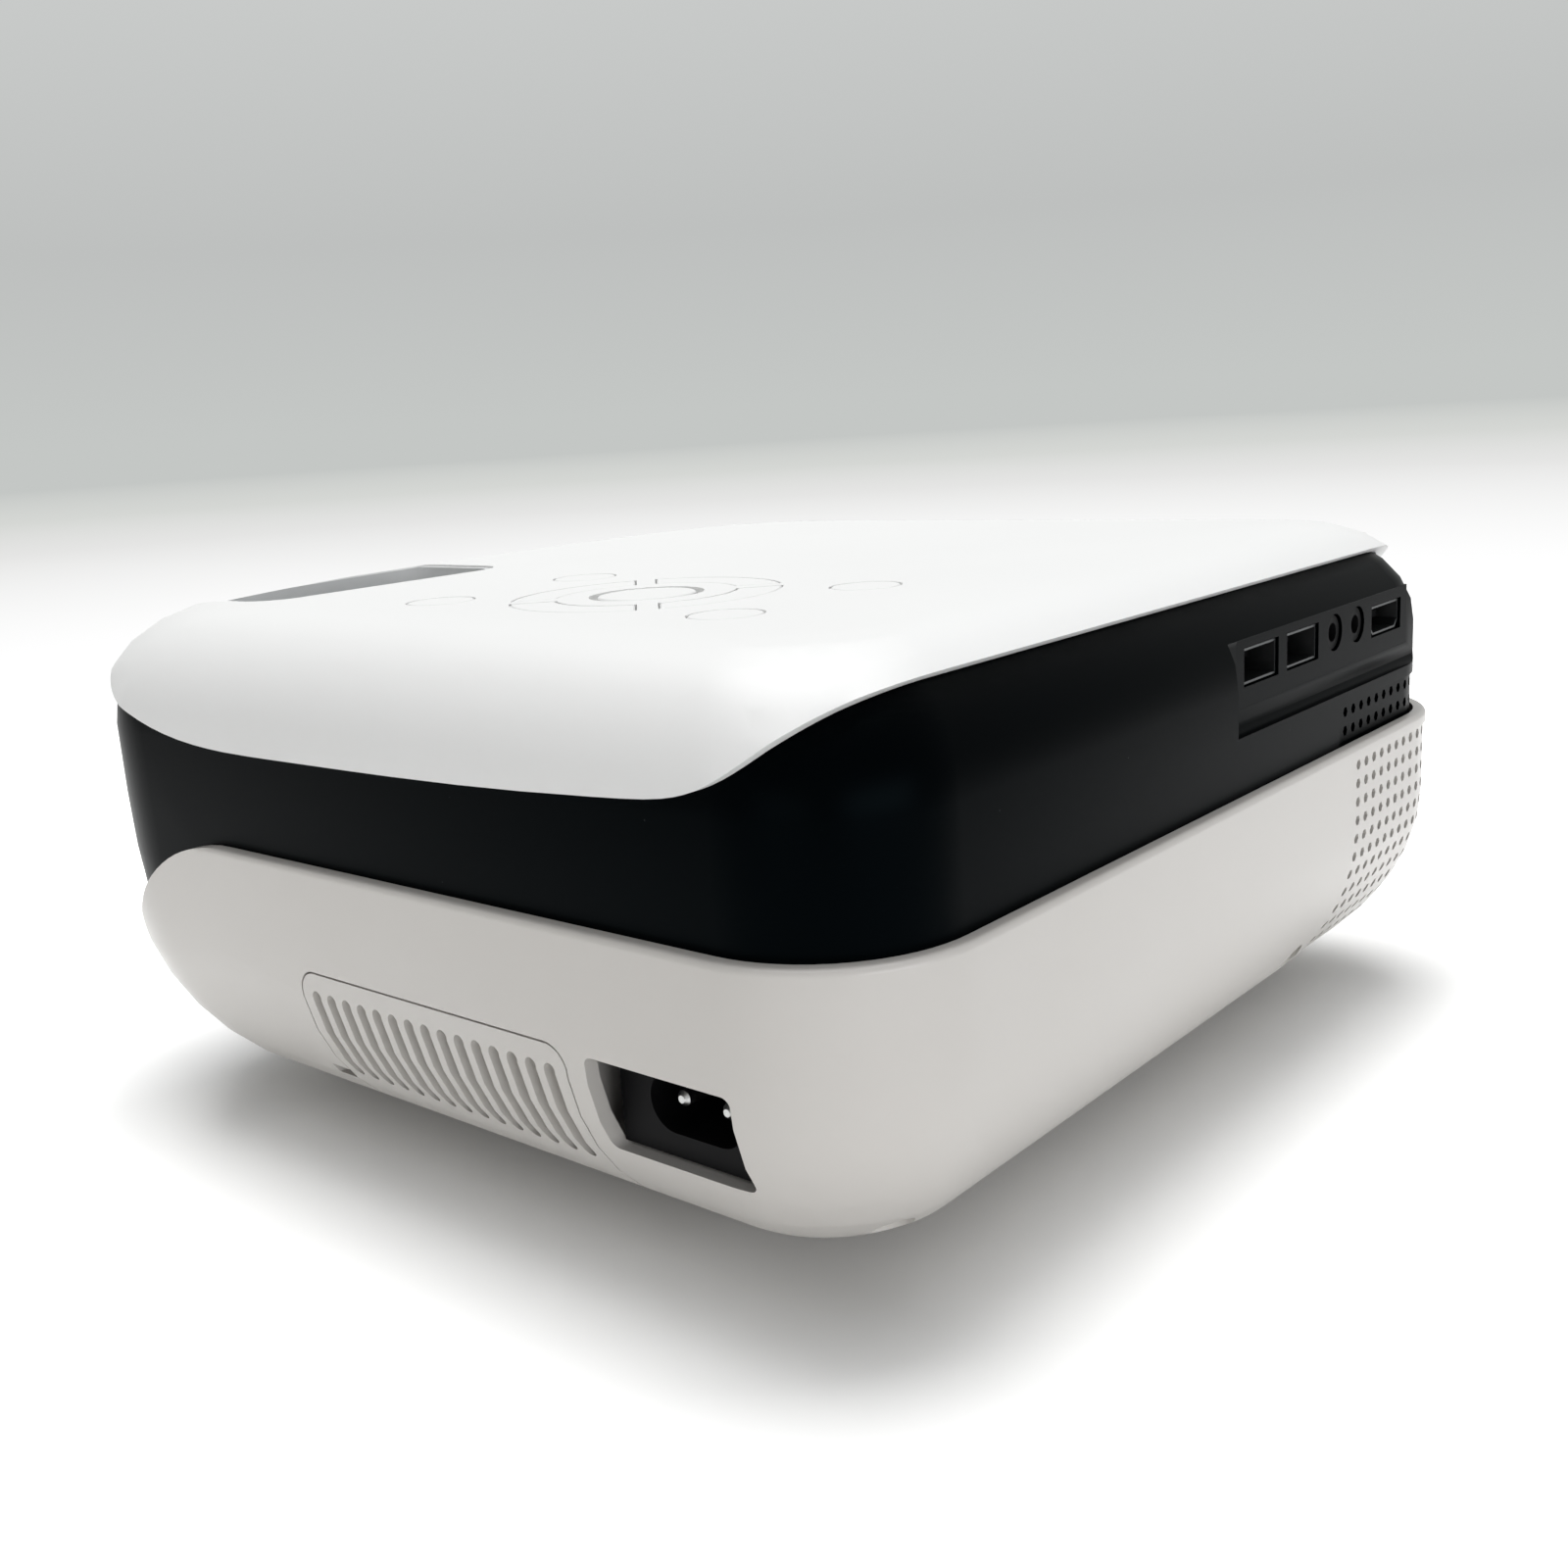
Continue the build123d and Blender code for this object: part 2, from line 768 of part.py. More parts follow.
# ---------------------------------------------------------------- middle shell: band and front
with BuildPart() as band_bosses:
    for (x, y), (dx, dy) in case_posts:
        rod((x, y, post_split_z), (0, 0, 1), boss_top_z - post_split_z, post_radius)
        far_x = x + dx * half_width
        far_y = y + dy * half_depth
        thick_x = abs(dy) * gusset / 2
        thick_y = abs(dx) * gusset / 2
        block(
            (min(x, far_x) - thick_x, min(y, far_y) - thick_y, lip_z - band_overlap),
            (max(x, far_x) + thick_x, max(y, far_y) + thick_y, boss_top_z),
        )
    block(
        (-half_width, port_plane_y - port_wall, port_recess_low_z - port_wall),
        (port_recess_low_x + port_wall, half_depth, port_recess_high_z + port_wall),
    )
    add(band_form, mode=Mode.INTERSECT)
    for (x, y), _ in case_posts:
        rod(
            (x, y, post_split_z),
            (0, 0, 1),
            screw_tip_z + screw_end_gap - post_split_z,
            screw_radius + screw_fit,
            mode=Mode.SUBTRACT,
        )

with BuildPart() as middle_shell:
    add(band_form)
    add(band_inner_form, mode=Mode.SUBTRACT)
    extrude(wing_profile(band_overlap), amount=reach, both=True, mode=Mode.SUBTRACT)
    add(band_bosses.part)
    with BuildSketch(Plane.XY.offset(top_centre_z)):
        RectangleRounded(2 * rim_half_width, 2 * rim_half_depth, rim_radius)
        with Locations((optic_x, window_y)):
            RectangleRounded(
                window_width + 2 * bezel_clearance,
                window_length + 2 * bezel_clearance,
                window_radius + bezel_clearance,
            )
    extrude(amount=top_round, mode=Mode.SUBTRACT)
    block(
        (-reach, drive_low_y - mouth_gap, drive_base_z - mouth_gap),
        (-band_inner_x + post_radius, drive_high_y + mouth_gap, drive_top_z + mouth_gap),
        mode=Mode.SUBTRACT,
    )
    rod(
        (optic_x, -reach, optic_z), (0, 1, 0), reach + lens_cut_y, lens_opening_radius, mode=Mode.SUBTRACT
    )
    with BuildSketch(Plane.XZ.offset(half_depth - band_inner_offset - front_bow)):
        with Locations((ir_x, ir_z)):
            RectangleRounded(ir_width, ir_height, ir_height / 2 - ir_gap)
    extrude(amount=reach, mode=Mode.SUBTRACT)
    with BuildSketch(Plane.YZ.offset(-reach)):
        with Locations((port_plane_y + half_depth / 2, (port_recess_low_z + port_recess_high_z) / 2)):
            RectangleRounded(half_depth, port_recess_high_z - port_recess_low_z, port_recess_round)
    extrude(amount=reach + port_recess_low_x, mode=Mode.SUBTRACT)
    add(port_panel_block(0, half_depth), mode=Mode.SUBTRACT)
    add(patch_block(0), mode=Mode.SUBTRACT)

with BuildPart() as port_panel:
    add(port_panel_block(press_gap, port_plane_y))
    for x in usb_places:
        block(
            (x - usb_width / 2 - socket_gap, port_plane_y - port_wall, board_top_z - socket_gap),
            (x + usb_width / 2 + socket_gap, port_plane_y, board_top_z + usb_height + socket_gap),
            mode=Mode.SUBTRACT,
        )
    block(
        (hdmi_place - hdmi_width / 2 - socket_gap, port_plane_y - port_wall, board_top_z - socket_gap),
        (hdmi_place + hdmi_width / 2 + socket_gap, port_plane_y, board_top_z + hdmi_height + socket_gap),
        mode=Mode.SUBTRACT,
    )
    for x in jack_places:
        rod(
            (x, port_plane_y - port_wall, board_top_z + jack_height / 2),
            (0, 1, 0),
            port_wall,
            jack_nose_radius + socket_gap,
            mode=Mode.SUBTRACT,
        )

# ---------------------------------------------------------------- top cover
with BuildPart() as top_cover:
    add(outer_form)
    extrude(apron_profile(), amount=reach, both=True, mode=Mode.INTERSECT)
    add(inner_form, mode=Mode.SUBTRACT)
    for x in (pad_x - key_post_dx, pad_x + key_post_dx):
        for y in (pad_y - key_post_dy, pad_y + key_post_dy):
            rod((x, y, key_board_top_z), (0, 0, 1), cover_under_z - key_board_top_z, key_post_radius)
    for side in (-1, 1):
        for y in snap_places:
            inner = side * (rim_half_width - seam_gap - snap_thickness)
            outer = side * (rim_half_width - seam_gap)
            hook = side * (rim_half_width + snap_thickness / 2)
            block(
                (min(inner, outer), y - snap_width / 2, snap_low_z),
                (max(inner, outer), y + snap_width / 2, cover_under_z),
            )
            block(
                (min(inner, hook), y - snap_width / 2, snap_low_z),
                (max(inner, hook), y + snap_width / 2, band_top_z - shell_wall - seam_gap),
            )
    with BuildSketch(Plane.XY.offset(key_board_top_z)):
        with Locations((optic_x, window_y)):
            RectangleRounded(window_width, window_length, window_radius)
        with Locations((pad_x, pad_y)):
            Circle(ok_radius + ok_gap)
        with Locations(*round_key_places.values()):
            Circle(round_key_radius + key_gap)
    extrude(amount=reach, mode=Mode.SUBTRACT)
    for angle in arc_key_angles.values():
        extrude(arc_key_outline(angle, key_gap, key_board_top_z), amount=reach, mode=Mode.SUBTRACT)


# ---------------------------------------------------------------- inserts in the housing
with BuildPart() as speaker_grille:
    add(envelope(grille_step))
    add(inner_form, mode=Mode.SUBTRACT)
    add(grille_block(grille_seam), mode=Mode.INTERSECT)
    add(perforations(grille_first_x, grille_first_z, grille_columns, grille_rows), mode=Mode.SUBTRACT)

with BuildPart() as band_grille:
    add(envelope(band_offset + grille_step))
    add(band_inner_form, mode=Mode.SUBTRACT)
    add(patch_block(grille_seam), mode=Mode.INTERSECT)
    add(
        perforations(grille_first_x, patch_high_z - hole_pitch_z / 2, grille_columns, patch_rows),
        mode=Mode.SUBTRACT,
    )

with BuildPart() as vent_panel:
    add(outer_form)
    add(inner_form, mode=Mode.SUBTRACT)
    add(vent_block(0), mode=Mode.INTERSECT)
    add(vent_slots(), mode=Mode.SUBTRACT)

with BuildPart() as exhaust_grille:
    add(mirror(vent_panel.part, about=Plane.YZ), clean=False)

with BuildPart() as filter_frame:
    block(
        (filter_x, vent_low_y + filter_margin, filter_low_z),
        (half_width, vent_high_y - filter_margin, vent_top_z - filter_margin),
    )
    block(
        (0, vent_low_y + filter_margin + filter_wall, filter_low_z + filter_wall),
        (half_width, vent_high_y - filter_margin - filter_wall, vent_top_z - filter_margin - filter_wall),
        mode=Mode.SUBTRACT,
    )
    add(inner_form, mode=Mode.INTERSECT)

with BuildPart() as filter_cover:
    add(vent_panel.part)
    add(filter_frame.part)

with BuildPart() as dust_filter:
    block(
        (filter_x, vent_low_y + filter_margin + filter_wall, filter_low_z + filter_wall),
        (half_width, vent_high_y - filter_margin - filter_wall, vent_top_z - filter_margin - filter_wall),
    )
    add(band_form, mode=Mode.INTERSECT)

with BuildPart() as bezel_tabs:
    tab_high_z = cover_under_z - press_gap
    tab_low_z = tab_high_z - bezel_tab_thickness
    for x in (optic_x - bezel_tab_spread, optic_x + bezel_tab_spread):
        block(
            (x - bezel_tab_width / 2, window_y, tab_low_z),
            (x + bezel_tab_width / 2, window_y + window_length / 2 + bezel_tab, tab_high_z),
        )
    block(
        (optic_x - window_width / 2 - bezel_tab, window_y, tab_low_z),
        (optic_x, window_y + bezel_tab_width, tab_high_z),
    )

with BuildPart() as window_bezel:
    with BuildSketch(Plane.XY.offset(bezel_floor_z - bezel_wall)):
        with Locations((optic_x, window_y)):
            RectangleRounded(
                window_width - 2 * window_gap, window_length - 2 * window_gap, window_radius - window_gap
            )
    extrude(amount=top_z - bezel_floor_z + bezel_wall)
    add(envelope(window_sink), mode=Mode.INTERSECT)
    add(bezel_tabs.part)
    with BuildSketch(Plane.XY.offset(bezel_floor_z)):
        with Locations((optic_x, window_y)):
            RectangleRounded(
                window_width - 2 * window_gap - 2 * bezel_wall,
                window_length - 2 * window_gap - 2 * bezel_wall,
                window_radius - window_gap - bezel_wall,
            )
    extrude(amount=top_z, mode=Mode.SUBTRACT)
    for y in (focus_ring_y, keystone_ring_y):
        rise = bezel_floor_z - bezel_wall - optic_z
        half_slot = sqrt(ring_outer_radius**2 - rise**2) + 2 * ring_side_gap
        block(
            (optic_x - half_slot, y - ring_width / 2 - 2 * ring_side_gap, bezel_floor_z - 2 * bezel_wall),
            (optic_x + half_slot, y + ring_width / 2 + 2 * ring_side_gap, bezel_floor_z + bezel_wall),
            mode=Mode.SUBTRACT,
        )

with BuildPart() as lens_bezel:
    rod(
        (optic_x, -half_depth, optic_z),
        (0, 1, 0),
        half_depth + bezel_back_y,
        lens_opening_radius - window_gap,
    )
    add(band_form, mode=Mode.INTERSECT)
    rod((optic_x, -reach, optic_z), (0, 1, 0), reach, lens_opening_radius - bezel_lip, mode=Mode.SUBTRACT)
    with Locations(Plane(origin=(optic_x, -half_depth, optic_z), z_dir=(0, 1, 0))):
        Cone(
            lens_opening_radius - bezel_lip + bezel_flare,
            lens_opening_radius - bezel_lip,
            half_depth + bezel_back_y,
            align=(Align.CENTER, Align.CENTER, Align.MIN),
            mode=Mode.SUBTRACT,
        )

with BuildPart() as ir_window:
    with BuildSketch(Plane.XZ.offset(half_depth - band_inner_offset - front_bow)):
        with Locations((ir_x, ir_z)):
            RectangleRounded(ir_width - 2 * ir_gap, ir_height - 2 * ir_gap, ir_height / 2 - 2 * ir_gap)
    extrude(amount=reach)
    add(band_form, mode=Mode.INTERSECT)

with BuildPart() as rubber_feet:
    for x, y in foot_places:
        rod((x, y, 0), (0, 0, 1), foot_height + foot_recess, foot_radius - press_gap)
    chamfer(rubber_feet.edges().group_by(Axis.Z)[0], foot_recess)

with BuildPart() as levelling_foot:
    with BuildSketch(Plane.XY.offset(knob_floor_gap)):
        with Locations((0, levelling_y)):
            Circle(knob_radius)
            with PolarLocations(knob_radius, knob_flutes):
                RegularPolygon(flute_radius, hole_sides, mode=Mode.SUBTRACT)
    extrude(amount=foot_height - knob_shell_gap - knob_floor_gap)
    rod((0, levelling_y, knob_floor_gap), (0, 0, 1), stud_top_z - knob_floor_gap, stud_radius)

with BuildPart() as tripod_insert:
    rod((0, 0, foot_height), (0, 0, 1), tripod_length - press_gap, tripod_insert_radius - press_gap)
    rod((0, 0, 0), (0, 0, 1), reach, tripod_bore_radius, mode=Mode.SUBTRACT)

with BuildPart() as case_screws:
    for (x, y), _ in case_posts:
        rod((x, y, screw_seat_z), (0, 0, -1), screw_head_height, screw_head_radius)
        rod((x, y, screw_seat_z), (0, 0, 1), screw_tip_z - screw_seat_z, screw_radius)


# ---------------------------------------------------------------- control pad
flange_top_z = cover_under_z - key_clearance
flange_low_z = flange_top_z - key_flange_thickness
stem_places = {"ok_button": (pad_x, pad_y)}
stem_places.update(round_key_places)
for name, angle in arc_key_angles.items():
    stem_radius = (arc_inner_radius + arc_outer_radius) / 2
    stem_places[name] = (
        pad_x + stem_radius * cos(radians(angle)),
        pad_y + stem_radius * sin(radians(angle)),
    )


def round_key(place, radius, hole_radius_here):
    """A round cap with a flange under the cover and a stem down to its switch."""
    with BuildPart() as key:
        rod((*place, flange_low_z), (0, 0, 1), top_z - flange_low_z, radius)
        chamfer(key.edges().group_by(Axis.Z)[-1], key_chamfer)
        rod((*place, flange_low_z), (0, 0, 1), key_flange_thickness, hole_radius_here + key_flange)
        rod((*place, key_stem_z), (0, 0, 1), flange_low_z - key_stem_z, key_stem_radius)
    return key


def arc_key(name):
    """One arc of the key ring, with its flange and stem."""
    angle = arc_key_angles[name]
    with BuildPart() as key:
        extrude(arc_key_outline(angle, 0, flange_low_z), amount=top_z - flange_low_z)
        chamfer(key.edges().group_by(Axis.Z)[-1], key_chamfer)
        extrude(arc_key_outline(angle, key_gap + key_flange, flange_low_z), amount=key_flange_thickness)
        rod((*stem_places[name], key_stem_z), (0, 0, 1), flange_low_z - key_stem_z, key_stem_radius)
    return key


keys = {"ok_button": round_key(stem_places["ok_button"], ok_radius, ok_radius + ok_gap)}
for name, place in round_key_places.items():
    keys[name] = round_key(place, round_key_radius, round_key_radius + key_gap)
for name in arc_key_angles:
    keys[name] = arc_key(name)

with BuildPart() as key_board:
    block(
        (pad_x - key_board_width / 2, pad_y - key_board_length / 2, key_board_top_z - board_thickness),
        (pad_x + key_board_width / 2, pad_y + key_board_length / 2, key_board_top_z),
    )
    for x, y in stem_places.values():
        block(
            (x - switch_size / 2, y - switch_size / 2, key_board_top_z),
            (x + switch_size / 2, y + switch_size / 2, key_board_top_z + switch_height),
        )
        rod((x, y, key_board_top_z), (0, 0, 1), switch_height + plunger_height, plunger_radius)

# ---------------------------------------------------------------- main board and sockets
main_board_high_y = port_plane_y - port_wall - socket_gap
socket_face_y = port_plane_y - socket_sink

with BuildPart() as main_board:
    block(
        (main_board_low_x, main_board_low_y, board_top_z - board_thickness),
        (main_board_high_x, main_board_high_y, board_top_z),
    )
    for (x, y), (chip_x, chip_y, chip_height) in chips:
        block(
            (x - chip_x / 2, y - chip_y / 2, board_top_z),
            (x + chip_x / 2, y + chip_y / 2, board_top_z + chip_height),
        )


def hdmi_block(inset):
    """The block of the HDMI socket, with its two lower corners cut off, made smaller by inset."""
    with BuildPart() as form:
        block(
            (hdmi_place - hdmi_width / 2 + inset, socket_face_y - hdmi_depth + inset, board_top_z + inset),
            (hdmi_place + hdmi_width / 2 - inset, socket_face_y, board_top_z + hdmi_height - inset),
        )
        lower_corners = form.edges().filter_by(Axis.Y).group_by(Axis.Z)[0]
        chamfer(lower_corners, hdmi_corner - (2 - sqrt(2)) * inset)
    return form.part


with BuildPart() as socket_shells:
    for x in usb_places:
        block(
            (x - usb_width / 2, socket_face_y - usb_depth, board_top_z),
            (x + usb_width / 2, socket_face_y, board_top_z + usb_height),
        )
        half_inside = usb_width / 2 - socket_sheet
        block(
            (x - half_inside, socket_face_y - usb_depth + socket_sheet, board_top_z + socket_sheet),
            (x + half_inside, socket_face_y, board_top_z + usb_height - socket_sheet),
            mode=Mode.SUBTRACT,
        )
    add(hdmi_block(0))
    add(hdmi_block(socket_sheet), mode=Mode.SUBTRACT)

with BuildPart() as socket_tongues:
    for x in usb_places:
        block(
            (
                x - usb_tongue[0] / 2,
                socket_face_y - usb_depth + socket_sheet,
                board_top_z + usb_height - socket_sheet - tongue_drop - usb_tongue[2],
            ),
            (
                x + usb_tongue[0] / 2,
                socket_face_y - usb_depth + socket_sheet + usb_tongue[1],
                board_top_z + usb_height - socket_sheet - tongue_drop,
            ),
        )
    block(
        (
            hdmi_place - hdmi_tongue[0] / 2,
            socket_face_y - hdmi_depth + socket_sheet,
            board_top_z + (hdmi_height - hdmi_tongue[2]) / 2,
        ),
        (
            hdmi_place + hdmi_tongue[0] / 2,
            socket_face_y - hdmi_depth + socket_sheet + hdmi_tongue[1],
            board_top_z + (hdmi_height + hdmi_tongue[2]) / 2,
        ),
    )

with BuildPart() as audio_jacks:
    for x in jack_places:
        block(
            (x - jack_width / 2, main_board_high_y - jack_depth, board_top_z),
            (x + jack_width / 2, main_board_high_y, board_top_z + jack_height),
        )
        nose = (x, main_board_high_y, board_top_z + jack_height / 2)
        rod(nose, (0, 1, 0), socket_face_y - main_board_high_y, jack_nose_radius)
        mouth = (x, socket_face_y, board_top_z + jack_height / 2)
        rod(mouth, (0, -1, 0), jack_bore_depth, jack_bore_radius, mode=Mode.SUBTRACT)

# ---------------------------------------------------------------- mains inlet and power board
inlet_y = (inlet_low_y + inlet_high_y) / 2 + inlet_shift_y
inlet_z = (inlet_low_z + inlet_high_z) / 2 + inlet_shift_z

with BuildPart() as power_inlet:
    block(
        (inlet_face_x - inlet_depth, inlet_low_y + inlet_gap, inlet_low_z + inlet_gap),
        (inlet_face_x, inlet_high_y - inlet_gap, inlet_high_z - inlet_gap),
    )
    with BuildSketch(Plane.YZ.offset(inlet_face_x - inlet_cavity_depth)):
        with Locations((inlet_y, inlet_z)):
            SlotCenterToCenter(inlet_pin_pitch, inlet_cavity_width)
    extrude(amount=inlet_depth, mode=Mode.SUBTRACT)
    for side in (-1, 1):
        rod(
            (inlet_face_x, inlet_y + side * inlet_pin_pitch / 2, inlet_z),
            (-1, 0, 0),
            inlet_depth,
            inlet_pin_radius + press_gap,
            mode=Mode.SUBTRACT,
        )

with BuildPart() as inlet_pins:
    for side in (-1, 1):
        rod(
            (inlet_face_x - inlet_pin_inset, inlet_y + side * inlet_pin_pitch / 2, inlet_z),
            (-1, 0, 0),
            inlet_depth + inlet_tab - inlet_pin_inset,
            inlet_pin_radius,
        )
    chamfer(inlet_pins.edges().group_by(Axis.X)[-1], inlet_pin_radius / 2)

with BuildPart() as power_board:
    block(
        (*power_board_low, power_board_z),
        (*power_board_high, power_board_z + board_thickness),
    )
    for x, y in capacitor_places:
        rod((x, y, power_board_z + board_thickness), (0, 0, 1), capacitor_height, capacitor_radius)

with BuildPart() as power_transformer:
    x, y = transformer_place
    core_x, core_y, core_z = transformer_size
    base_z = power_board_z + board_thickness
    block((x - core_x / 2, y - core_y / 2, base_z), (x + core_x / 2, y + core_y / 2, base_z + core_z))
    for side in (-1, 1):
        window_x = x + side * core_x / 4
        block(
            (window_x - core_x / 8, y - core_y, base_z + core_z / 4),
            (window_x + core_x / 8, y + core_y, base_z + 3 * core_z / 4),
            mode=Mode.SUBTRACT,
        )
    rod((x, y - core_y / 2, base_z + core_z / 2), (0, 1, 0), core_y, core_z / 4)

# ---------------------------------------------------------------- cooling fans


def fan_frame(low_x, z, inward):
    """A square fan frame in the YZ plane, with struts and a fixed pin on its inward side."""
    plate_x = low_x if inward < 0 else low_x + fan_thickness - fan_floor
    pin_x = low_x + fan_floor if inward < 0 else low_x + fan_thickness - fan_floor
    with BuildPart() as frame:
        block(
            (low_x, fan_middle_y - fan_size / 2, z - fan_size / 2),
            (low_x + fan_thickness, fan_middle_y + fan_size / 2, z + fan_size / 2),
        )
        rod((low_x, fan_middle_y, z), (1, 0, 0), fan_thickness, fan_bore_radius, mode=Mode.SUBTRACT)
        block(
            (plate_x, fan_middle_y - fan_size / 2, z - fan_strut / 2),
            (plate_x + fan_floor, fan_middle_y + fan_size / 2, z + fan_strut / 2),
        )
        block(
            (plate_x, fan_middle_y - fan_strut / 2, z - fan_size / 2),
            (plate_x + fan_floor, fan_middle_y + fan_strut / 2, z + fan_size / 2),
        )
        rod((plate_x, fan_middle_y, z), (1, 0, 0), fan_floor, fan_hub_radius)
        rod((pin_x, fan_middle_y, z), (-inward, 0, 0), fan_pin_length, fan_pin_radius)
        for side_y in (-fan_screw_spread, fan_screw_spread):
            for side_z in (-fan_screw_spread, fan_screw_spread):
                rod(
                    (low_x, fan_middle_y + side_y, z + side_z),
                    (1, 0, 0),
                    fan_thickness,
                    fan_screw_radius,
                    mode=Mode.SUBTRACT,
                )
    return frame


def fan_rotor(low_x, z, inward):
    """Hub and pitched blades, on the frame's pin."""
    back_x = low_x + fan_floor + fan_end_gap if inward < 0 else low_x + fan_end_gap
    hub_length = fan_thickness - fan_floor - 2 * fan_end_gap
    bore_x = back_x if inward < 0 else back_x + hub_length
    blade_length = fan_blade_radius - fan_hub_radius
    with BuildPart() as rotor:
        rod((back_x, fan_middle_y, z), (1, 0, 0), hub_length, fan_hub_radius)
        with Locations(Plane(origin=(back_x + hub_length / 2, fan_middle_y, z), z_dir=(1, 0, 0))):
            with PolarLocations(fan_hub_radius + blade_length / 2 - fan_blade_root / 2, fan_blade_count):
                Box(
                    blade_length + fan_blade_root,
                    fan_blade_chord,
                    fan_blade_thickness,
                    rotation=(fan_blade_pitch, 0, 0),
                )
        rod(
            (bore_x, fan_middle_y, z),
            (-inward, 0, 0),
            fan_pin_length,
            fan_pin_radius + fan_running_gap,
            mode=Mode.SUBTRACT,
        )
    return rotor


intake_fan_frame = fan_frame(intake_fan_x, intake_fan_z, -1)
intake_fan_rotor = fan_rotor(intake_fan_x, intake_fan_z, -1)
exhaust_fan_frame = fan_frame(exhaust_fan_x, exhaust_fan_z, 1)
exhaust_fan_rotor = fan_rotor(exhaust_fan_x, exhaust_fan_z, 1)

# ---------------------------------------------------------------- speaker
with BuildPart() as speaker:
    block(
        (speaker_x - speaker_size / 2, speaker_front_y - speaker_flange, speaker_z - speaker_size / 2),
        (speaker_x + speaker_size / 2, speaker_front_y, speaker_z + speaker_size / 2),
    )
    fillet(speaker.edges().filter_by(Axis.Y), speaker_corner)
    with Locations(Plane(origin=(speaker_x, speaker_front_y - speaker_flange, speaker_z), z_dir=(0, -1, 0))):
        Cone(
            speaker_cone_radius,
            speaker_magnet_radius,
            speaker_cone_depth,
            align=(Align.CENTER, Align.CENTER, Align.MIN),
        )
    rod((speaker_x, speaker_back_y, speaker_z), (0, 1, 0), speaker_magnet_depth, speaker_magnet_radius)
    with Locations(Plane(origin=(speaker_x, speaker_front_y, speaker_z), z_dir=(0, -1, 0))):
        Cone(
            speaker_cone_radius,
            speaker_magnet_radius / 2,
            speaker_cone_depth,
            align=(Align.CENTER, Align.CENTER, Align.MIN),
            mode=Mode.SUBTRACT,
        )

# ---------------------------------------------------------------- projection lens
optic_axis = Axis((optic_x, 0, optic_z), (0, 1, 0))
tunnel_start_y = housing_back_y + flange_thickness

with BuildPart() as lens_housing:
    rod(
        (optic_x, housing_front_y, optic_z),
        (0, 1, 0),
        housing_back_y - housing_front_y,
        housing_outer_radius,
    )
    for start, end in (
        (housing_front_y, focus_ring_y - ring_width / 2 - ring_side_gap),
        (focus_ring_y + ring_width / 2 + ring_side_gap, keystone_ring_y - ring_width / 2 - ring_side_gap),
        (keystone_ring_y + ring_width / 2 + ring_side_gap, housing_collar_back_y),
    ):
        rod((optic_x, start, optic_z), (0, 1, 0), end - start, collar_radius)
    block(
        (optic_x - flange_width / 2, housing_back_y, optic_z - flange_height / 2),
        (optic_x + flange_width / 2, tunnel_start_y, optic_z + flange_height / 2),
    )
    rod(
        (optic_x, housing_front_y, optic_z),
        (0, 1, 0),
        tunnel_start_y - housing_front_y,
        housing_bore_radius,
        mode=Mode.SUBTRACT,
    )

with BuildPart() as lens_barrel:
    rod(
        (optic_x, barrel_front_y, optic_z),
        (0, 1, 0),
        barrel_back_y - barrel_front_y,
        housing_bore_radius - lens_slide_gap,
    )
    rod(
        (optic_x, barrel_front_y, optic_z),
        (0, 1, 0),
        barrel_back_y - barrel_front_y,
        lens_shoulder_radius,
        mode=Mode.SUBTRACT,
    )
    rod(
        (optic_x, barrel_front_y, optic_z),
        (0, 1, 0),
        front_lens_y + lens_edge / 2 - barrel_front_y,
        front_lens_radius + lens_seat_gap,
        mode=Mode.SUBTRACT,
    )
    rod(
        (optic_x, barrel_back_y, optic_z),
        (0, -1, 0),
        barrel_back_y - rear_lens_y + lens_edge / 2,
        rear_lens_radius + lens_seat_gap,
        mode=Mode.SUBTRACT,
    )


def crown_points(radius, edge_y, crown):
    """Points along a domed lens face, from its rim to its apex on the optical axis."""
    points = []
    for step in range(crown_steps + 1):
        share = 1 - step / crown_steps
        points.append((optic_x + radius * share, edge_y + crown * (1 - share**2)))
    return points


def lens(y, radius, front_crown, back_crown):
    """A round lens: a flat rim to seat it, and a dome on each side."""
    front = crown_points(radius - lens_rim, y - lens_edge / 2, -front_crown)
    back = crown_points(radius - lens_rim, y + lens_edge / 2, back_crown)
    with BuildPart() as glass:
        with BuildSketch(Plane.XY.offset(optic_z)):
            with BuildLine():
                Polyline(
                    *reversed(front),
                    (optic_x + radius, y - lens_edge / 2),
                    (optic_x + radius, y + lens_edge / 2),
                    *back,
                    close=True,
                )
            make_face()
        revolve(axis=optic_axis)
    return glass


front_lens = lens(front_lens_y, front_lens_radius, lens_front_crown, lens_back_crown)
rear_lens = lens(rear_lens_y, rear_lens_radius, lens_back_crown, lens_back_crown)


def adjusting_ring(y):
    """A grooved ring that turns on the outside of the lens housing."""
    with BuildPart() as ring:
        with BuildSketch(Plane.XZ.offset(-y - ring_width / 2)):
            with Locations((optic_x, optic_z)):
                Circle(ring_outer_radius)
                with PolarLocations(ring_outer_radius, ring_grooves):
                    RegularPolygon(ring_groove_depth, ring_groove_sides, mode=Mode.SUBTRACT)
                Circle(housing_outer_radius + ring_running_gap, mode=Mode.SUBTRACT)
        extrude(amount=ring_width)
    return ring


focus_ring = adjusting_ring(focus_ring_y)
keystone_ring = adjusting_ring(keystone_ring_y)

# ---------------------------------------------------------------- light path
tunnel_inside = tunnel_size / 2 - tunnel_wall
tunnel_floor_z = optic_z - tunnel_inside

